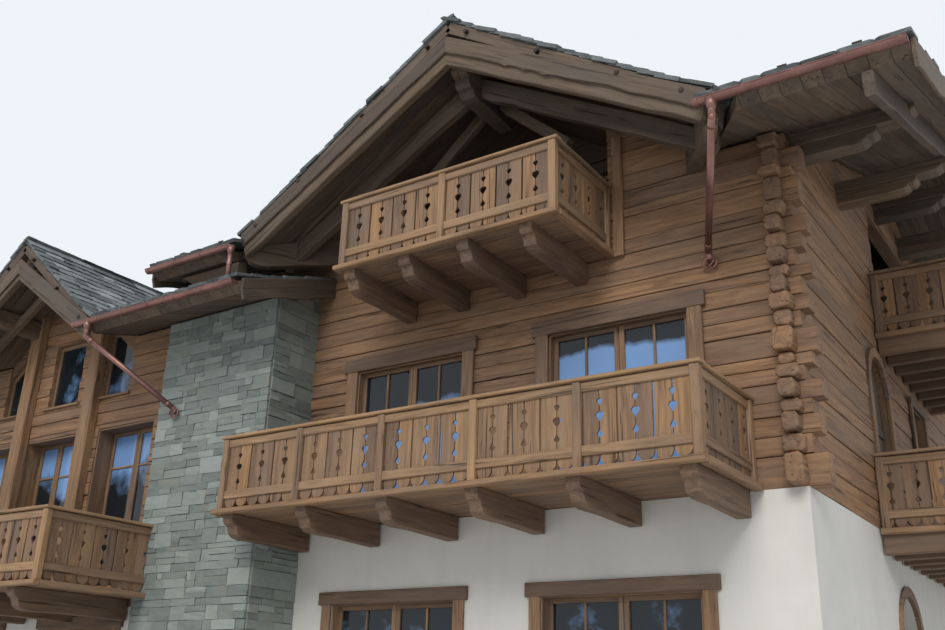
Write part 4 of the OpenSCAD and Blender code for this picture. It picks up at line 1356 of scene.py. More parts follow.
@dataclass
class Balcony:
    """A carved timber balcony: brackets, planked deck, base plank and a board railing."""
    name: str
    nodes: dict[str, str]
    left: float
    right: float
    front: float
    back: float
    z: float
    bays: int
    boards: int
    side_boards: int
    brackets: tuple[float, ...]
    bracket: tuple[float, float, float] = (.2, .3, 0.0)
    base: Matrix = field(default_factory=lambda: Matrix.Identity(4))
    post: float = .11
    post_h: float = 1.0
    rail_in: float = .055

    def piece(self, part: str, finish: Finish) -> Piece:
        """Opens one of its pieces, which stands for the node of that part if it has one."""
        nodes = (self.nodes[part],) if part in self.nodes else ()
        return Piece(f"{self.name}_{part}", finish, nodes, self.base)

    def board(self, piece: Piece, x: float, width: float, left: bool, right: bool,
              place: Matrix) -> None:
        """Puts in one railing board with its cut-out edges and rounded foot.

        Args:
            piece: the piece that it joins.
            x: its left edge.
            width: its width.
            left: whether its left edge has the carved cut-outs.
            right: whether its right edge has them.
            place: frame of the panel, with x along it.
        """
        rng = piece.rng
        foot, top, half = .104 + rng.uniform(-.005, .008), 1.0, width / 2
        edge_right = [(half - d, z) for z, d in (CUT_EDGE if right else PLAIN_EDGE)]
        edge_left = [(d - half, z) for z, d in reversed(CUT_EDGE if left else PLAIN_EDGE)]
        curve = ((.007, .092), (.016, .054), (.034, .024), (.060, .006), (.085, 0))
        round_foot = [(-half + a, foot + b) for a, b in curve] \
            + [(half - a, foot + b) for a, b in reversed(curve)]
        outline = round_foot + edge_right + [(half - .003, top), (-half + .003, top)] + edge_left
        bm = sheet_part(outline, .022)
        ops.rotate(bm, verts=bm.verts, matrix=Matrix.Rotation(rng.uniform(-.006, .006), 3, "Z"))
        upright = Matrix.Rotation(math.pi / 2, 4, "Y")
        bm.transform(upright)
        piece.add(bm, place @ at(x + half, rng.uniform(-.003, .003), 0) @ upright.inverted(),
                  tone=rng.uniform(-.1, 1.2))

    def panel(self, piece: Piece, start: float, end: float, count: int, place: Matrix
              ) -> None:
        """Fills the space between two posts with boards.

        Args:
            piece: the piece that it joins.
            start: where the space starts.
            end: where it ends.
            count: how many boards fill it.
            place: frame of the panel, with x along it.
        """
        width = (end - start) / count
        for i in range(count):
            self.board(piece, start + i * width, width, i % 2 == 1 and i > 0,
                       i % 2 == 0 and i < count - 1, place)

    def railing(self) -> None:
        """Builds the rails and posts, and the boards between them."""
        rails, boards = self.piece("rails", Finish.GOLDEN), self.piece("boards", Finish.BOARDS)
        p, deep = self.post, self.front + self.rail_in
        for z, high, thick, out in ((.285, .12, .07, 0), (1.035, .11, .07, 0),
                                    (1.125, .045, .15, .03)):
            z += self.z
            ends = [((self.left - out, deep, z), (self.right + out, deep, z))]
            ends += [((x, self.front + .1, z), (x, self.back, z))
                     for x in (self.left + self.rail_in, self.right - self.rail_in)]
            for start, end in ends:
                rails.beam(start, end, thick, high, wave=.004, chamfer=.01)
        posts = [self.left + (self.right - self.left - p) * i / self.bays
                 for i in range(self.bays + 1)]
        for x, y in (*((x + p / 2, deep - .006) for x in posts),
                     *((x, self.back - p / 2) for x in (self.left + p / 2, self.right - p / 2))):
            rails.hew((self.post_h, p, p), at(x, y, self.z + .09 + self.post_h / 2) @ UPRIGHT,
                      wave=.010, chamfer=.014, step=.12)
        for start, end in zip(posts, posts[1:]):
            self.panel(boards, start + p, end, self.boards, at(0, self.front + .058, self.z))
        for x, out in ((self.left, -.06), (self.right, .06)):
            self.panel(boards, p, self.back - self.front, self.side_boards,
                       at(x, self.front, self.z) @ INWARD @ at(0, out, 0))
        rails.make()
        boards.make()

    def deck(self) -> None:
        """Builds the planks of the deck, its base plank and its brackets."""
        piece = self.piece("deck", Finish.BOARDS)
        rows = max(round((self.back - self.front - .05) / .21), 1)
        step = (self.back - self.front - .02) / rows
        middle = (self.left + self.right) / 2
        for i in range(rows):
            piece.add(timber((self.right - self.left - .02, step - .006, .056), piece.rng,
                             wave=.002, chamfer=.005),
                      at(middle, self.front + .02 + step * (i + .5), self.z + .059),
                      tone=piece.rng.uniform(.1, .7))
        piece.beam((self.left - .045, self.front, self.z + .048),
                   (self.right + .045, self.front, self.z + .048), .112, .072, wave=.005,
                   chamfer=.012, step=.25, tone=.9)
        for x in (self.left, self.right):
            piece.beam((x, self.front + .06, self.z + .045), (x, self.back, self.z + .045), .12,
                       .084, wave=.006, chamfer=.012, step=.25, tone=.8)
        if "brackets" in self.nodes:
            piece.make()
            piece = self.piece("brackets", Finish.BOARDS)
        width, high, short = self.bracket
        tip, foot, z = self.front + short, self.z - high, self.z
        outline = [(tip + .065, z + .029), (tip + .065, z - .05), (tip + .075, z - .085),
                   (tip + .10, z - .115), (tip + .14, z - .13), (tip + .16, z - .16),
                   (tip + .20, foot + .05), (tip + .27, foot + .014), (tip + .36, foot),
                   ((tip + self.back) / 2, foot + .012), (self.back, foot), (self.back, z + .029)]
        for x in self.brackets:
            bm = sheet_part(outline, width * piece.rng.uniform(.94, 1.0))
            faces = [f for f in bm.faces if len(f.verts) == len(outline)]
            wear(bm, list({e for f in faces for e in f.edges}), .014, 2)
            # The brackets take a low tone: painted shade under the deck.
            piece.add(bm, at(x, 0, 0) @ INWARD, tone=piece.rng.uniform(-.2, .3))
        piece.make()

    def build(self) -> None:
        """Builds the balcony."""
        self.deck()
        self.railing()


def every_balcony() -> list[Balcony]:
    """Lists the balconies, with the ones of the right wall drawn along X and turned by their base.

    Returns:
        The balconies of the main front, the wing and the right wall.
    """
    long, small, wing = ({part: f"{place}_balcony_{node}" for part, node in
                          (("deck", "deck"), ("rails", "railing"), ("brackets", "brackets"))}
                         for place in ("lower", "upper", "wing"))
    del wing["brackets"]
    side = {"deck": "side_balcony_decks", "rails": "side_balcony_railings"}
    balconies = [
        Balcony("long_balcony", long, -7.88, -.58, -1.71, -.03, 3.48, 5, 6, 8,
                tuple(-.78 - i * 1.383 for i in range(6))),
        Balcony("gable_balcony", small, -6.02, -2.40, -1.62, -.03, 6.88, 2, 8, 8,
                tuple(-2.88 - i * .99 for i in range(4))),
        Balcony("wing_balcony", wing, WING_LEFT, WING_X + 3.37, -2.87, -.78, 2.48, 4, 8, 10,
                tuple(WING_X - 2.7 + i * 1.35 for i in range(5)))]
    for name, boards, start, end, z in (("side_lower_balcony", 6, 3.17, 9.43, 3.41),
                                        ("side_upper_balcony", 4, 4.3, 8.3, 6.63)):
        width = end - start
        count = round(width / .57)
        balconies.append(Balcony(
            name, side, 0, width, -1.5, -.03, z, 4, boards, 8,
            tuple(.09 + (width - .18) * i / count for i in range(count + 1)), (.14, .26, .1),
            at(0, start, 0) @ INWARD))
    return balconies


# Timbers that carry the roofs, and the boards along their edges


@dataclass
class RoofTimbers:
    """Purlins, rafters and braces under the overhanging roofs."""
    purlin: float = .26

    def carved_end(self, piece: Piece, start: Vector, end: Vector, width: float,
                   high: float, planes: Iterable[Plane] = ()) -> None:
        """Puts in a purlin whose free end is cut back to a stepped nose.

        Args:
            piece: the piece that it joins.
            start: its fixed end, at the middle of its section.
            end: its free end.
            width: its width.
            high: its height.
            planes: planes that cut it.
        """
        length, half = (end - start).length, high / 2
        tip = length / 2
        outline = [(-tip, -half), (tip - .30, -half), (tip - .20, -half * .86),
                   (tip - .13, -half * .5), (tip - .12, -half * .18), (tip - .06, -half * .12),
                   (tip, half * .3), (tip, half), (-tip, half)]
        bm = sheet_part(outline, width)
        wear(bm, [e for e in bm.edges if span(e, 1) < 1e-5], .016)
        piece.add(bm, aim(start, end), planes)

    def pitched(self, piece: Piece, pitch: Pitch, side: int, reach: float, across: float,
                thick: float, high: float, down: float, start: float = 0.0, **hewing: float
                ) -> None:
        """Puts in a timber that runs up a slope to its ridge.

        Args:
            piece: the piece that it joins.
            pitch: the slopes that it lies under.
            side: -1 or 1, the side of the ridge.
            reach: level distance from the ridge to its foot.
            across: its place along the ridge.
            thick: its size along the ridge.
            high: its upright height.
            down: depth of its top below the slates.
            start: level distance from the ridge to its head.
            hewing: what timber() takes besides its size.
        """
        def spot(away: float) -> Vector:
            """Middle of its section at a distance from the ridge."""
            place = pitch.peak + side * away
            z = pitch.top(place) - down - high / 2
            return Vector((place, across, z) if pitch.axis == "x" else (across, place, z))

        foot, head = spot(reach), spot(start - .25)
        bm = timber(((head - foot).length, thick, high / pitch.stretch), piece.rng, **hewing)
        flat = pitch.way * side
        piece.add(bm, aim(foot, head), (Plane(pitch.way * (pitch.peak + side * start), -flat),
                                        Plane(pitch.way * (pitch.peak + side * reach), flat)))

    def gables(self) -> None:
        """Builds the timbers inside the front gable and the wing's gable."""
        piece = Piece("gable_frame", Finish.SHADED, ("gable_timbers",))

        def purlin(x: float, back: float, front: float, z: float, width: float, high: float,
                   planes: Iterable[Plane] = ()) -> None:
            """Lays a purlin that comes out of the gable's wall."""
            self.carved_end(piece, Vector((x, back, z)), Vector((x, front, z)), width, high, planes)

        under, wing_under = (pitch.planes(ROOF_T + .005) for pitch in (GABLE, WING_GABLE))
        purlin(AXIS_X, .05, -1.47, 9.98, self.purlin, .40, under)
        purlin(AXIS_X, .05, -1.20, 9.65, self.purlin, .26)
        for side in SIDES:
            self.pitched(piece, GABLE, side, 3.71, -.78, .14, .36, ROOF_T - .01, wave=.015,
                         chamfer=.012, waney=.03)
            piece.beam((AXIS_X, -.28, 9.885), (AXIS_X + side * 1.3, -.28, 8.72), .12, .17,
                       wave=.012, chamfer=.012)
        for side in SIDES:
            x = WING_X + side
            purlin(x, WING_FRONT, -1.97, WING_GABLE.top(x) - ROOF_T - .17, .22, .34, wing_under)
            self.pitched(piece, WING_GABLE, side, 1.7, -1.44, .12, .2, .42, wave=.012, chamfer=.012)
        purlin(WING_X, WING_FRONT, -1.97, 8.52, .22, .44, wing_under)
        piece.make()

    def valleys(self) -> None:
        """Builds the beams under the valleys beside the front gable, rounded at their free end."""
        piece = Piece("valley_beams", Finish.GREYED)
        out = 1.466
        for side in SIDES:
            start, end = (Vector((AXIS_X + side * x, y, 0)) for x, y in ((3.06, 0), (3.88, -1.47)))
            length = (end - start).length
            bottom = ((-.1, 7.90), (0, 7.875), (.6, 7.705), (1.0, 7.585), (1.2, 7.525),
                      (1.30, 7.518), (1.38, 7.53), (1.43, 7.56), (1.455, 7.60), (1.47, 7.645))
            outline = [(y * length / 1.47 - length / 2, z) for y, z in bottom] \
                + [(length / 2 + .05, 7.66), (length / 2 + .05, 8.6), (-length / 2 - .1, 8.6)]
            bm = sheet_part(outline, .172)
            wear(bm, [e for e in bm.edges if len(e.link_faces) == 2 and e.calc_face_angle() > 1.2
                      and span(e, 1) < 1e-4], .012, 2)
            piece.add(bm, aim(start, end), (*GABLE.planes(ROOF_T + .005),
                                            Plane(ACROSS * -out, -ACROSS),
                                            Plane(ACROSS * -.002, ACROSS)), .85)
        piece.make()

    def sides(self) -> None:
        """Builds the purlins past the right wall and the rafters that lie on them."""
        piece = Piece("side_purlin_logs", Finish.SHADED, ("side_purlins",))
        for y, down in ((.35, .38), (2.9, .76), (5.42, .82), (7.18, .82), (9.7, .76), (12.25, .38)):
            for end, lower in ((1.64, .095), (1.17, .285)):
                z = MAIN.top(y) - down - lower
                self.carved_end(piece, Vector((-.1, y, z)), Vector((end, y, z)), .26, .19,
                                MAIN.planes(ROOF_T + .005))
        piece.make()
        piece = Piece("side_rafter_logs", Finish.SHADED, ("side_rafters",))
        for side in SIDES:
            self.pitched(piece, MAIN, side, RIDGE_Y + 1.76, RIGHT_OUT - .46, .12, .3, ROOF_T,
                         .01, wave=.012, chamfer=.012, waney=.035)
        piece.make()

    def eaves(self) -> None:
        """Builds the carved purlin under the front eaves' left end and the rear rafters."""
        piece = Piece("eave_rafter_logs", Finish.SHADED, ("eave_rafters",))
        outline = [(-8.25, 8), (-9.85, 8), (-9.85, 7.645), (-9.77, 7.63), (-9.72, 7.60),
                   (-9.61, 7.61), (-9.57, 7.60), (-9.55, 7.565), (-9.49, 7.545), (-9.44, 7.52),
                   (-9.39, 7.475), (-9.33, 7.43), (-9.29, 7.385), (-9.22, 7.362), (-8.25, 7.362)]
        piece.add(sheet_part([(x + 9, z - 7.5) for x, z in outline], .176), at(-9, -1.43, 7.5),
                  MAIN.planes(ROOF_T + .004), .6)
        for i in range(13):
            self.pitched(piece, MAIN, 1, RIDGE_Y + 1.7, -9.8 + i * .965, .16, .2, ROOF_T,
                         RIDGE_Y + .03, wave=.008, chamfer=.014)
        piece.make()

    def pegs(self, piece: Piece, pitch: Pitch, side: int, places: Sequence[float],
             face: float, down: float) -> None:
        """Sets round pegs in a gable's verge board.

        Args:
            piece: the piece that it joins.
            pitch: the gable's slopes.
            side: -1 or 1, the side of the gable.
            places: level distances of the pegs from the ridge.
            face: where the board's face is.
            down: how far below the slope they sit.
        """
        for away in places:
            x = pitch.peak + side * away
            piece.add(rod(.035, .07, 10, .008), at(x, face, pitch.top(x) - down) @ INWARD, tone=0)

    def verges(self) -> None:
        """Builds the wavy boards along the roofs' edges, and the rafters behind them."""
        pegs = Piece("verge_pegs", Finish.IRON)
        wavy = {"wave": .006, "chamfer": .010, "step": .12, "waney": .045}
        # The verge boards take the greyed boards' finish, which is darkened as painted shade.
        piece = Piece("gable_verges", Finish.GREYED, ("gable_verge_boards",))
        for side in SIDES:
            self.pitched(piece, GABLE, side, GABLE_HALF - .06, -GABLE_OUT - .02, .055, .30, .07,
                         **wavy)
            self.pitched(piece, GABLE, side, GABLE_HALF - .12, -GABLE_OUT + .06, .12, .25,
                         ROOF_T - .02, wave=.014, chamfer=.012, waney=.02)
            self.pegs(pegs, GABLE, side, (.35, 1.55, 2.75, 3.6), -GABLE_OUT - .03, .20)
        piece.make()
        piece = Piece("side_verges", Finish.GREYED, ("side_verge_boards",))
        for x, high in ((RIGHT_OUT + .025, .38), (-BODY_W - LEFT_OUT - .025, .34)):
            for side in SIDES:
                self.pitched(piece, MAIN, side, RIDGE_Y + EAVE_OUT - .06, x, .044, high, .07,
                             **wavy | {"wave": .003, "chamfer": .008})
        piece.make()
        piece = Piece("wing_verges", Finish.GREYED, ("wing_verge_boards",))
        for side in SIDES:
            self.pitched(piece, WING_GABLE, side, WING_GABLE_HALF - .04, -WING_OUT - .02, .05,
                         .34, .06, **wavy)
            self.pitched(piece, WING_GABLE, side, WING_GABLE_HALF - .12, -WING_OUT + .06, .12,
                         .18, ROOF_T - .02, wave=.012, chamfer=.012)
            self.pegs(pegs, WING_GABLE, side, (.4, 1.3, 2.15), -WING_OUT - .03, .22)
        front, rear = WING_RIDGE_Y + WING_OUT - .06, WING_FRONT + WING_D + .94 - WING_RIDGE_Y
        edge = {"wave": .003, "waney": .04, "step": .12}
        for side, reach in ((-1, front), (1, rear)):
            self.pitched(piece, WING, side, reach, WING_ROOF_LEFT - .025, .046, .36, .07, **edge)
        piece.make()
        # The verge at the wing roof's right end takes the shaded timber: painted shade over the
        # stone bay.
        piece = Piece("wing_roof_end", Finish.SHADED)
        self.pitched(piece, WING, -1, front, WING_ROOF_RIGHT + .025, .046, .36, .07,
                     WING_RIDGE_Y, **edge)
        piece.make()
        pegs.make()

    def build(self) -> None:
        """Builds every timber of the roofs."""
        self.gables()
        self.valleys()
        self.sides()
        self.eaves()
        self.verges()


# Windows and doors


@dataclass(frozen=True)
class Window:
    """A window or glazed door of one or more casements, in its wall's opening."""
    side: Side
    face: float
    gap: Gap
    depth: float
    casing: float = .12
    casements: int = 2
    uprights: int = 0
    levels: tuple[float, ...] = ()
    sill: bool = True
    lining: float = 0.0
    # Tones of the glass at the foot and the head of each pane: painted reflection.
    sky: Pair = (.55, .35)

    def place(self) -> Matrix:
        """Frame at the middle of the opening's lower edge, in the wall's face."""
        a, b = self.side.span(self.gap.start, self.gap.end)
        return self.side.place(self.face) @ at((a + b) / 2, 0, self.gap.low)

    def bar(self, piece: Piece, x: float, z: float, size: tuple[float, float, float], y: float,
            upright: bool = False, tone: Optional[float] = None, **hewing: float) -> None:
        """Puts in one straight member.

        Args:
            piece: the piece that it joins.
            x: its middle along the wall, from the middle of the opening.
            z: its middle above the opening's lower edge.
            size: its length, thickness and height.
            y: its middle behind the wall's face.
            upright: whether it stands.
            tone: how light it is, or None for a random tone.
            hewing: what timber() takes besides its size.
        """
        turn = UPRIGHT if upright else at(0, 0, 0)
        piece.hew(size, self.place() @ at(x, y, z) @ turn, tone=tone,
                  **{"wave": .0015, "chamfer": .004} | hewing)

    def surround(self, piece: Piece) -> None:
        """Puts on the casing boards with the long head board over them.

        Args:
            piece: the piece that it joins.
        """
        if not self.casing:
            return
        c, wide, tall = self.casing, self.gap.wide, self.gap.tall
        low = -c if self.sill else 0
        hewn = {"wave": .006, "chamfer": .010}
        for side in SIDES:
            self.bar(piece, side * (wide / 2 + c / 2), (tall + low) / 2, (tall - low, .05, c),
                     -.025, True, **hewn)
        # The head board takes a lower tone: painted shade from the eaves and balconies above.
        self.bar(piece, 0, tall + c * .55 - .014, (wide + 2 * c + .10, .064, c * 1.06), -.030,
                 tone=-.15, **hewn)
        if self.sill:
            self.bar(piece, 0, -c * .45, (wide + 2 * c + .04, .07, c * .8), -.033, **hewn)

    def line(self, piece: Piece) -> None:
        """Lines the sides and the head of the opening with boards.

        Args:
            piece: the piece that it joins.
        """
        if not self.lining:
            return
        wide, tall, deep = self.gap.wide, self.gap.tall, self.lining
        for side in SIDES:
            self.bar(piece, side * (wide / 2 - .012), tall / 2, (tall, deep, .028), deep / 2, True)
        self.bar(piece, 0, tall - .012, (wide, deep, .028), deep / 2)

    def casement(self, piece: Piece, start: float, wide: float) -> None:
        """Builds one casement: its frame, its glazing bars and its weather bar.

        Args:
            piece: the piece that it joins.
            start: its left edge, from the middle of the opening.
            wide: its width.
        """
        stile, thick, y = .07, .064, self.depth + .045
        top = self.gap.tall - .012
        for x in (start + stile / 2, start + wide - stile / 2):
            self.bar(piece, x, top / 2, (top, thick, stile), y, True)
        for z in (.055, top - stile / 2):
            high = .11 if z < .1 else stile
            self.bar(piece, start + wide / 2, z, (wide - 2 * stile, thick, high), y)
        for i in range(self.uprights):
            x = start + stile + (wide - 2 * stile) * (i + 1) / (self.uprights + 1)
            self.bar(piece, x, top / 2, (top - .15, .05, .034), y - .002, True)
        for level in self.levels:
            self.bar(piece, start + wide / 2, top * level, (wide - 2 * stile, .048, .034), y)

    def frames(self, piece: Piece) -> None:
        """Builds the casing, the lining and the casements.

        Args:
            piece: the piece that it joins.
        """
        self.surround(piece)
        self.line(piece)
        rim = .02
        wide = (self.gap.wide - 2 * rim) / self.casements
        for i in range(self.casements):
            self.casement(piece, -self.gap.wide / 2 + rim + i * wide, wide - .006)

    def panes(self, piece: Piece) -> None:
        """Sets the glass of each casement.

        Args:
            piece: the piece that it joins.
        """
        wide = (self.gap.wide - .04) / self.casements
        tall = self.gap.tall - .16
        # Each pane's tone runs from foot to head, which paints the reflection over its height.
        foot, head = self.sky
        for i in range(self.casements):
            place = at(-self.gap.wide / 2 + .02 + (i + .5) * wide, self.depth + .05,
                       self.gap.tall / 2 + .015)
            piece.hew((wide - .12, .012, tall), self.place() @ place, **SAWN,
                      tone=lambda point: foot + (head - foot) * (point.z / tall + .5))


@dataclass
class Glazing:
    """All windows, storey by storey."""
    ground: tuple[Window, ...] = ()
    first: tuple[Window, ...] = ()
    second: tuple[Window, ...] = ()

    def __post_init__(self) -> None:
        """Lists the windows of each storey."""
        def row(side: Side, face: float, gaps: Sequence[Gap], *sizes: float,
                **looks: object) -> list[Window]:
            """The same window in each of some openings."""
            return [Window(side, face, gap, *sizes, **looks) for gap in gaps]

        rear, wing_rear = BODY_D, WING_FRONT + WING_D
        barred = {"uprights": 1, "levels": (.56,), "lining": .18}
        # The sky pairs set each pane's tone at its foot and head: painted reflection, paler where
        # the tone is higher.
        front = barred | {"sky": (.34, .34)}
        wing = {"levels": (.77,), "sill": False, "lining": .34, "sky": (-.9, 1.1)}
        self.ground = (
            *row(Side.FRONT, 0, gaps_about(AXIS_X, 1.0, 2.4, (-2.84, -.65), (.71, 2.9)),
                 .12, .17, **front),
            *row(Side.FRONT, WING_FRONT, gaps_about(WING_X, .9, 2.1, (-2.5, -.7), (.7, 2.5)),
                 .12, .17, **front),
            *row(Side.REAR, rear, gaps_from(REAR_X, 1.0, 2.4), .12, **barred),
            *row(Side.REAR, wing_rear, gaps_from(WING_REAR_X, .9, 2.1), .12, **barred),
            *row(Side.LEFT, WING_LEFT, gaps_from(WING_LEFT_Y, .9, 2.1), .12, **barred),
            Window(Side.RIGHT, 0, SIDE_GROUND_WINDOW, .12, **barred))
        self.first = (
            *(Window(Side.FRONT, -.03, gap, .09, .2, uprights=1, sill=False, lining=.18, sky=sky)
              for gap, sky in zip(WINDOWS_FIRST, ((2.3, -.3), (5.4, -.2)))),
            *(Window(Side.FRONT, WING_FRONT, gap, .30, 0, count, **wing)
              for gap, count in zip(WING_WINDOWS, (2, 3, 2))),
            *row(Side.REAR, rear + .03, gaps_from(REAR_X, 4.55, 5.95), .09, **barred),
            *row(Side.REAR, wing_rear, gaps_from(WING_REAR_X, 3.6, 5.1), .12, **barred),
            *row(Side.LEFT, WING_LEFT, gaps_from(WING_LEFT_Y, 3.6, 5.1), .12, **barred),
            Window(Side.RIGHT, .03, SIDE_WINDOW, .09, lining=.16, casements=1, levels=(.5,)))
        self.second = (
            Window(Side.FRONT, 1.5, LOGGIA_DOOR, .06, 0, 3, levels=(.35,), sill=False),
            Window(Side.RIGHT, -1.3, SIDE_LOGGIA_DOOR, .06, 0, 2, levels=(.35,), sill=False))

    def gable_panes(self, frames: Piece, panes: Piece) -> None:
        """Builds the wing gable's windows, whose outer ones follow the roof.

        Args:
            frames: the piece of the frames.
            panes: the piece of the glass.
        """
        y = WING_FRONT + .10
        cuts, inner = (WING_GABLE.planes(ROOF_T + down) for down in (.25, .33))
        for side, gap in zip((-1, 0, 1), WING_GABLE_WINDOWS):
            x, z, low, high = gap.middle, (gap.low + gap.high) / 2, gap.low, gap.high
            for end in (gap.start + .035, gap.end - .035):
                frames.hew((gap.tall, .08, .07), at(end, y, z) @ UPRIGHT, cuts, wave=0)
            for end in (low + .035, high - .035):
                frames.hew((gap.wide, .078, .07), at(x, y, end), cuts, wave=0)
            frames.hew((gap.wide + .16, .15, .045), at(x, WING_FRONT + .01, low - .012), wave=.002)
            if side:
                (a, za), (b, zb) = ((v, WING_GABLE.top(v) - ROOF_T - .285)
                                    for v in (gap.start, gap.end))
                frames.beam((a, y, za), (b, y, zb), .076, .07, wave=0,
                            planes=(Plane(Vector((0, 0, high)), UP),
                                    Plane(Vector((a, 0, 0)), -ALONG),
                                    Plane(Vector((b, 0, 0)), ALONG)))
            panes.hew((gap.wide - .10, .012, gap.tall - .10), at(x, y, z), inner, .3, **SAWN)

    def build(self) -> None:
        """Builds the frames and the glass of each storey."""
        for storey in ("ground", "first", "second"):
            frames = Piece(storey + "_windows", Finish.BOARDS, (storey + "_window_frames",))
            panes = Piece(storey + "_panes", Finish.GLASS, (storey + "_glass",))
            for window in getattr(self, storey):
                window.frames(frames)
                window.panes(panes)
            if storey == "second":
                self.gable_panes(frames, panes)
                for side in SIDES:
                    x = AXIS_X + side * 1.95
                    frames.hew((1.87, .05, .16), at(x, -.05, 6.88 + .935) @ UPRIGHT,
                               wave=.012, chamfer=.012, waney=.01)
            frames.make()
            panes.make()


@dataclass
class ArchedDoors:
    """The round-headed plank doors in the right wall."""
    plank: float = .17
    ring: float = .14

    def arc(self, gap: Gap, radius: float, start: float, end: float, steps: int
            ) -> list[Pair]:
        """Points on a circle about the arch's centre, between two angles in degrees.

        Args:
            gap: the door's opening.
            radius: the circle's radius.
            start: the first angle.
            end: the last angle.
            steps: how many steps lie between them.

        Returns:
            The points, as places along the wall and heights.
        """
        centre, step = gap.high - gap.wide / 2, (end - start) / steps
        turns = [math.radians(start + step * i) for i in range(steps + 1)]
        return [(radius * math.cos(turn), centre + radius * math.sin(turn)) for turn in turns]

    def leaf(self, piece: Piece, gap: Gap, place: Matrix) -> None:
        """Builds the leaf from upright planks whose tops follow the arch.

        Args:
            piece: the piece that it joins.
            gap: the door's opening.
            place: frame of the wall, with x along it.
        """
        radius, centre = gap.wide / 2 - .012, gap.high - gap.wide / 2
        count = round(2 * radius / self.plank)
        for i in range(count):
            a, b = (-radius + 2 * radius * k / count for k in (i, i + 1))
            tops = [(x, centre + math.sqrt(max(radius ** 2 - x * x, 0)))
                    for x in (b - .004, (a + b) / 2, a + .004)]
            bm = sheet_part([(a + .004, gap.low), (b - .004, gap.low), *tops], .05)
            turn = Matrix.Rotation(math.pi / 2, 4, "Y")
            bm.transform(turn)
            piece.add(bm, place @ turn.inverted())
        for z in (.35, 1.45):
            piece.hew((2 * radius - .1, .03, .13), place @ at(0, -.036, gap.low + z), wave=.003)

    def surround(self, piece: Piece, gap: Gap, place: Matrix) -> None:
        """Builds the ring round the arch from curved pieces, on upright jambs.

        Args:
            piece: the piece that it joins.
            gap: the door's opening.
            place: frame of the wall, with x along it.
        """
        radius = gap.wide / 2
        for start in range(0, 180, 36):
            outline = self.arc(gap, radius + self.ring, start + .4, start + 35.6, 4) \
                + self.arc(gap, radius - .004, start + 35.6, start + .4, 4)
            piece.add(sheet_part(outline, .06), place)
        spring = gap.high - radius
        for side in SIDES:
            jamb = at(side * (radius + self.ring / 2), 0, (spring + gap.low) / 2)
            piece.hew((spring - gap.low, .06, self.ring), place @ jamb @ UPRIGHT)

    def fill(self, piece: Piece, gap: Gap, place: Matrix, edge: float, top: float) -> None:
        """Closes the corners between the arch and the square hole in the logs.

        Args:
            piece: the piece that it joins.
            gap: the door's opening.
            place: frame of the wall, with x along it.
            edge: how far the hole reaches beyond the arch on each side.
            top: height of the hole's top.
        """
        radius = gap.wide / 2 + .02
        for side in (0, 1):
            curve = self.arc(gap, radius, 90 * side, 90 * side + 90, 8)
            x = (radius + edge) * (1 - 2 * side)
            spring = curve[0 if side == 0 else -1][1]
            outline = ([(0, top)] + list(reversed(curve)) + [(x, spring), (x, top)]) if side == 0 \
                else ([(x, top), (x, spring)] + list(reversed(curve)) + [(0, top)])
            piece.add(sheet_part(outline, .2), place)
        piece.hew((2 * (radius + edge), .2, .02), place @ at(0, 0, top), wave=0)

    def build(self) -> None:
        """Builds both doors."""
        piece = Piece("arched_plank_doors", Finish.SHADED, ("arched_doors",))
        trim_piece = Piece("arch_surrounds", Finish.BOARDS)
        for gap, inward, face in ((ARCH_GROUND, -.23, .0), (ARCH_FIRST, -.13, .02)):
            self.leaf(piece, gap, at(inward, gap.middle, 0) @ INWARD)
            self.surround(trim_piece, gap, at(face, gap.middle, 0) @ INWARD)
        place = at(-.11, ARCH_FIRST.middle, 0) @ INWARD
        self.fill(trim_piece, ARCH_FIRST, place, .14, ARCH_HOLE_TOP)
        low, high = ARCH_FIRST.low, 5.72
        for side in SIDES:
            trim_piece.hew((high - low, .2, .15),
                           place @ at(side * .605, 0, (low + high) / 2) @ UPRIGHT, wave=.003)
        piece.make()
        trim_piece.make()


# Stone bay and copper work


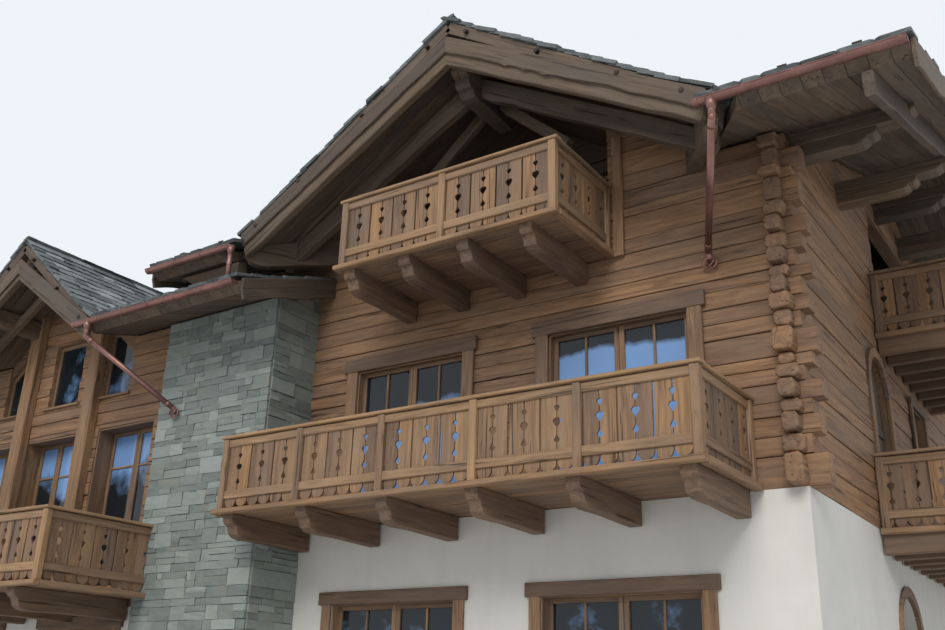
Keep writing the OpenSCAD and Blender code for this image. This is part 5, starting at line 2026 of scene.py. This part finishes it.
@dataclass
class StoneBay:
    """The stone-clad bay: split stones in uneven courses over a plain core."""
    heights: tuple[float, ...] = (.13, .21, .10, .16, .23, .11, .18, .08, .21, .15, .10)
    widths: Pair = (.19, .56)

    def stone(self, piece: Piece, place: Matrix, x: Pair, z: Pair) -> None:
        """Sets one stone, a little out of line, with a chipped face.

        Args:
            piece: the piece that it joins.
            place: frame of the wall, with x along it.
            x: its two ends along the face.
            z: its bottom and top.
        """
        rng, out = piece.rng, piece.rng.uniform(.008, .026)
        bm = block((x[1] - x[0] - rng.uniform(.004, .009), .12,
                    z[1] - z[0] - rng.uniform(.004, .008)))
        front = [f for f in bm.faces if f.calc_center_median().y < -.05]
        ops.subdivide_edges(bm, edges=[e for f in front for e in f.edges], cuts=1,
                            use_grid_fill=True)
        for v in bm.verts:
            if v.co.y < -.05:
                v.co += Vector((rng.uniform(-.004, .004), rng.uniform(-.008, .005),
                                rng.uniform(-.004, .004)))
        piece.add(bm, place @ at((x[0] + x[1]) / 2, .06 - out, (z[0] + z[1]) / 2),
                  WING.planes(ROOF_T), rng.random() ** 1.3)

    def face(self, piece: Piece, place: Matrix, start: float, end: float) -> None:
        """Clads one face of the bay, course by course.

        Args:
            piece: the piece that it joins.
            place: frame of the wall, with x along it.
            start: where the face starts.
            end: where it ends.
        """
        rng, z, row = piece.rng, .3, 0
        while z < 7.35:
            high = self.heights[row % len(self.heights)] * rng.uniform(.9, 1.15)
            x = start
            while x < end - .01:
                wide = rng.uniform(*self.widths)
                if end - x - wide < .14:
                    wide = end - x
                if high > .16 and rng.random() < .35:
                    split = z + high * rng.uniform(.4, .6)
                    self.stone(piece, place, (x, x + wide), (z, split))
                    half = x + wide * rng.uniform(.35, .65)
                    for pair in (((x, half), (half, x + wide)) if rng.random() < .4
                                 else ((x, x + wide),)):
                        self.stone(piece, place, pair, (split, z + high))
                else:
                    self.stone(piece, place, (x, x + wide), (z, z + high))
                x += wide
            z += high
            row += 1

    def build(self) -> None:
        """Builds the core and the cladding of each visible face."""
        piece = Piece("bay_stones", Finish.STONE, ("stone_bay_wall",))
        wide = STONE_RIGHT - STONE_LEFT
        middle = (STONE_LEFT + STONE_RIGHT) / 2
        for size, x, y in (((wide - .06, .42, 7.3), middle, STONE_FRONT + .24),
                           ((.42, .60, 7.3), STONE_RIGHT - .24, -.32)):
            piece.hew(size, at(x, y, 3.95), WING.planes(), 0, **SAWN)
        self.face(piece, at(0, STONE_FRONT, 0), STONE_LEFT, STONE_RIGHT)
        self.face(piece, Side.RIGHT.place(STONE_RIGHT), STONE_FRONT + .02, -.002)
        self.face(piece, Side.LEFT.place(STONE_LEFT), .752, -STONE_FRONT - .02)
        piece.make()


@dataclass
class CopperWork:
    """Gutters with their straps, and pipes with their funnels and rosettes."""
    radius: float = .075
    bead: float = .009
    pipe_radius: float = .045

    def trough(self, piece: Piece, start: float, end: float, y: float, z: float) -> None:
        """Builds one half-round gutter along X, with beads, end caps and straps.

        Args:
            piece: the piece that it joins.
            start: its left end.
            end: its right end.
            y: its middle.
            z: height of its rims.
        """
        def half_ring(radius: float, length: float, thick: float) -> Mesh:
            """A half-round sheet along x, about its middle."""
            bm = bmesh.new()
            ops.create_circle(bm, segments=24, radius=radius)
            ops.rotate(bm, verts=bm.verts, matrix=Matrix.Rotation(math.pi / 2, 3, "Y"))
            ops.delete(bm, geom=[v for v in bm.verts if v.co.z > 1e-4], context="VERTS")
            ops.translate(bm, vec=(-length / 2, 0, 0), verts=bm.verts)
            grown = ops.extrude_edge_only(bm, edges=bm.edges[:])
            ops.translate(bm, vec=(length, 0, 0), verts=new_verts(grown))
            ops.recalc_face_normals(bm, faces=bm.faces)
            ops.solidify(bm, geom=bm.faces[:], thickness=thick)
            ops.recalc_face_normals(bm, faces=bm.faces)
            return bm

        length, middle, r = end - start, (start + end) / 2, self.radius - self.bead
        piece.add(half_ring(r, length, .004), at(middle, y, z))
        for side in SIDES:
            piece.add(rod(self.bead, length, 8), at(middle, y + side * r, z))
            piece.add(rod(r, .006, 24), at(middle + side * (length / 2 - .003), y, z),
                      (Plane(Vector((0, 0, z)), UP),))
        count = max(round(length / .62), 1)
        for i in range(count + 1):
            x = start + .06 + (length - .12) * i / count
            piece.add(half_ring(r + .006, .028, .005), at(x, y, z))
            piece.hew((.028, 2 * r, .006), at(x, y, z + .006), **SAWN)

    def pipe(self, piece: Piece, points: Sequence[Sequence[float]], radius: float) -> None:
        """Runs a pipe through points, with round elbows, collars and a funnel on top.

        Args:
            piece: the piece that it joins.
            points: the corners of its run, from the top.
            radius: its radius.
        """
        spots = [Vector(p) for p in points]
        for i, (a, b) in enumerate(zip(spots, spots[1:])):
            length = (b - a).length
            up = UP if abs((b - a).normalized().z) < .95 else ACROSS
            piece.add(rod(radius, length, 16), aim(a, b, up))
            if length > .35:
                for share in (.06, .94) if length > 1 else (.5,):
                    spot = a.lerp(b, share)
                    piece.add(rod(radius + .006, .05, 16, .004), Matrix.Translation(spot)
                              @ aim(a, b, up).to_3x3().to_4x4())
            if i:
                ball = bmesh.new()
                ops.create_uvsphere(ball, u_segments=16, v_segments=10, radius=radius * 1.02)
                piece.add(ball, Matrix.Translation(a))
        funnel = bmesh.new()
        ops.create_cone(funnel, cap_ends=True, segments=16, radius1=radius * 1.02,
                        radius2=radius * 1.75, depth=.15)
        piece.add(funnel, Matrix.Translation(spots[0] + UP * -.035))

    def rosette(self, piece: Piece, place: Matrix) -> None:
        """Hangs a knot of three bent rods round the foot of a pipe.

        Args:
            piece: the piece that it joins.
            place: where the knot hangs and how it is turned.
        """
        for turn, size in ((0.0, .075), (.5, .062), (-.5, .062)):
            bm = bmesh.new()
            ops.create_circle(bm, segments=8, radius=.010, matrix=at(size, 0, 0)
                              @ Matrix.Rotation(math.pi / 2, 4, "X"))
            ops.spin(bm, geom=bm.edges[:], cent=(0, 0, 0), axis=(0, 0, 1), angle=2 * math.pi,
                     steps=24, use_merge=True)
            ops.recalc_face_normals(bm, faces=bm.faces)
            piece.add(bm, place @ Matrix.Rotation(turn, 4, "X") @ Matrix.Rotation(turn, 4, "Y")
                      @ Matrix.Scale(1.25, 4, ALONG))

    def hook(self, piece: Piece, x: float, y: float, z: float, pitch: float) -> None:
        """Puts a snow hook on a slope: a strap with two raised stops.

        Args:
            piece: the piece that it joins.
            x: its place along X.
            y: its place along Y.
            z: its height.
            pitch: the fall of the slope.
        """
        place = at(x, y, z) @ Matrix.Rotation(math.atan(pitch), 4, "X")
        piece.hew((.04, .30, .008), place @ at(0, .1, 0), **SAWN)
        for high, deep in ((.07, 0.0), (.11, .06)):
            piece.hew((.11, .012, .035), place @ at(0, deep, high), wave=0, chamfer=.003)
            piece.hew((.028, .014, high), place @ at(0, deep, high / 2), **SAWN)

    def build(self) -> None:
        """Builds the gutters, the pipes and the snow hooks."""
        eave, wing_eave = EAVE_OUT + self.radius, -WING_OUT - self.radius
        z, low = EAVE_Z - .12, WING_EAVE_Z - .12
        left = -BODY_W - LEFT_OUT
        piece = Piece("copper_gutters", Finish.COPPER, ("gutters",))
        for start, end, y, rim in (
                (AXIS_X + EAVE_HALF, RIGHT_OUT, -eave, z), (left, AXIS_X - EAVE_HALF, -eave, z),
                (WING_X + 2.1, WING_ROOF_RIGHT, wing_eave, low),
                (WING_ROOF_LEFT, WING_X - 2.1, wing_eave, low),
                (left, RIGHT_OUT, BODY_D + eave, z)):
            self.trough(piece, start, end, y, rim)
        piece.make(smooth=False)
        piece = Piece("copper_pipes", Finish.COPPER, ("downpipes",))
        for radius, points in (
                (self.pipe_radius, ((-.19, -eave, z - .06), (-.19, -eave, z - .26),
                                    (-.98, -.13, 6.6), (-.98, -.05, 6.5))),
                (self.pipe_radius, ((-11.0, wing_eave, 6.82), (-11.0, wing_eave, 6.6),
                                    (-9.92, STONE_FRONT - .11, 5.5),
                                    (-9.92, STONE_FRONT - .03, 5.45))),
                (.038, ((-8.06, -eave, z - .06), (-8.06, -eave, WING.top(-eave) + .02)))):
            self.pipe(piece, points, radius)
        for foot in ((-.98, -.09, 6.47), (-9.92, STONE_FRONT - .09, 5.43)):
            self.rosette(piece, at(*foot) @ Matrix.Rotation(math.pi / 2, 4, "X"))
        piece.make(smooth=True)
        piece = Piece("snow_hooks", Finish.IRON)
        for x in (.588, 1.423, -9.517, -8.603):
            self.hook(piece, x, -1.66, MAIN.top(-1.66) - .012, MAIN_PITCH)
        for i in range(8):
            self.hook(piece, -9.2 + i * 1.4, BODY_D + 1.5, MAIN.top(BODY_D + 1.5) - .012,
                      -MAIN_PITCH)
        piece.make()


# Floor, light and camera


@dataclass(frozen=True)
class Studio:
    """A plain pale floor, soft light and the camera at the photograph's angle."""
    place: Vector = Vector((7.9054, -17.9321, 1.0005))
    yaw: float = math.radians(34.64)
    pitch: float = math.radians(21.27)
    roll: float = math.radians(1.78)
    lens: float = 38.76
    sky: float = 0.62
    sun: float = 1.7

    def camera(self) -> None:
        """Places the camera."""
        lens = bpy.data.cameras.new("camera")
        lens.lens, lens.sensor_width, lens.clip_end = self.lens, 36.0, 500
        camera = show("camera", lens)
        camera.matrix_world = (Matrix.Translation(self.place) @ Matrix.Rotation(self.yaw, 4, "Z")
                               @ Matrix.Rotation(math.pi / 2 + self.pitch, 4, "X")
                               @ Matrix.Rotation(self.roll, 4, "Z"))
        bpy.context.scene.camera = camera

    def light(self) -> None:
        """Lights the house from the sky and with one soft sun in front of it."""
        world = bpy.data.worlds.new("sky")
        world.use_nodes = True
        desk = NodeDesk(world.node_tree)
        back = world.node_tree.nodes["Background"]
        path = desk.add("LightPath").outputs
        seen = desk.math("MAXIMUM", path["Is Camera Ray"],
                         desk.math("MAXIMUM", path["Is Glossy Ray"], path["Is Transmission Ray"]))
        tone = desk.mix("MIX", seen, (0.93, 0.96, 1.0, 1), (0.86, 0.90, 0.95, 1))
        desk.settle(back, Color=tone, Strength=desk.scaled(seen, 1.0 - self.sky, self.sky))
        bpy.context.scene.world = world
        sun = bpy.data.lights.new("sun", "SUN")
        sun.energy, sun.angle, sun.color = self.sun, math.radians(30), (1.0, 0.97, 0.92)
        lamp = show("sun", sun)
        lamp.matrix_world = Vector((0.25, -0.8, 0.62)).to_track_quat("Z", "Y").to_matrix().to_4x4()

    def floor(self) -> None:
        """Lays the pale floor."""
        bm = bmesh.new()
        ops.create_grid(bm, x_segments=1, y_segments=1, size=120)
        mesh = bpy.data.meshes.new("studio_floor")
        bm.to_mesh(mesh)
        bm.free()
        material, desk, shader = open_material("pale_floor")
        desk.settle(shader, Base_Color=(0.80, 0.80, 0.79, 1), Roughness=0.9)
        mesh.materials.append(material)
        floor = show("studio_floor", mesh)
        floor.location.z = -0.002

    def build(self) -> None:
        """Sets up the floor, the light, the camera and the plain view."""
        self.floor()
        self.light()
        self.camera()
        bpy.context.scene.view_settings.view_transform = "Standard"


def main() -> None:
    """Builds the house piece by piece and its studio."""
    logging.basicConfig(level=logging.INFO, format="%(name)s %(message)s")
    Studio().build()
    dress_frame()
    for assembly in (LogShell(), Roofs(), *every_balcony(), RoofTimbers(),
                     Glazing(), ArchedDoors(), StoneBay(), CopperWork()):
        log.info("building %s", type(assembly).__name__)
        assembly.build()


if __name__ == "__main__":
    main()
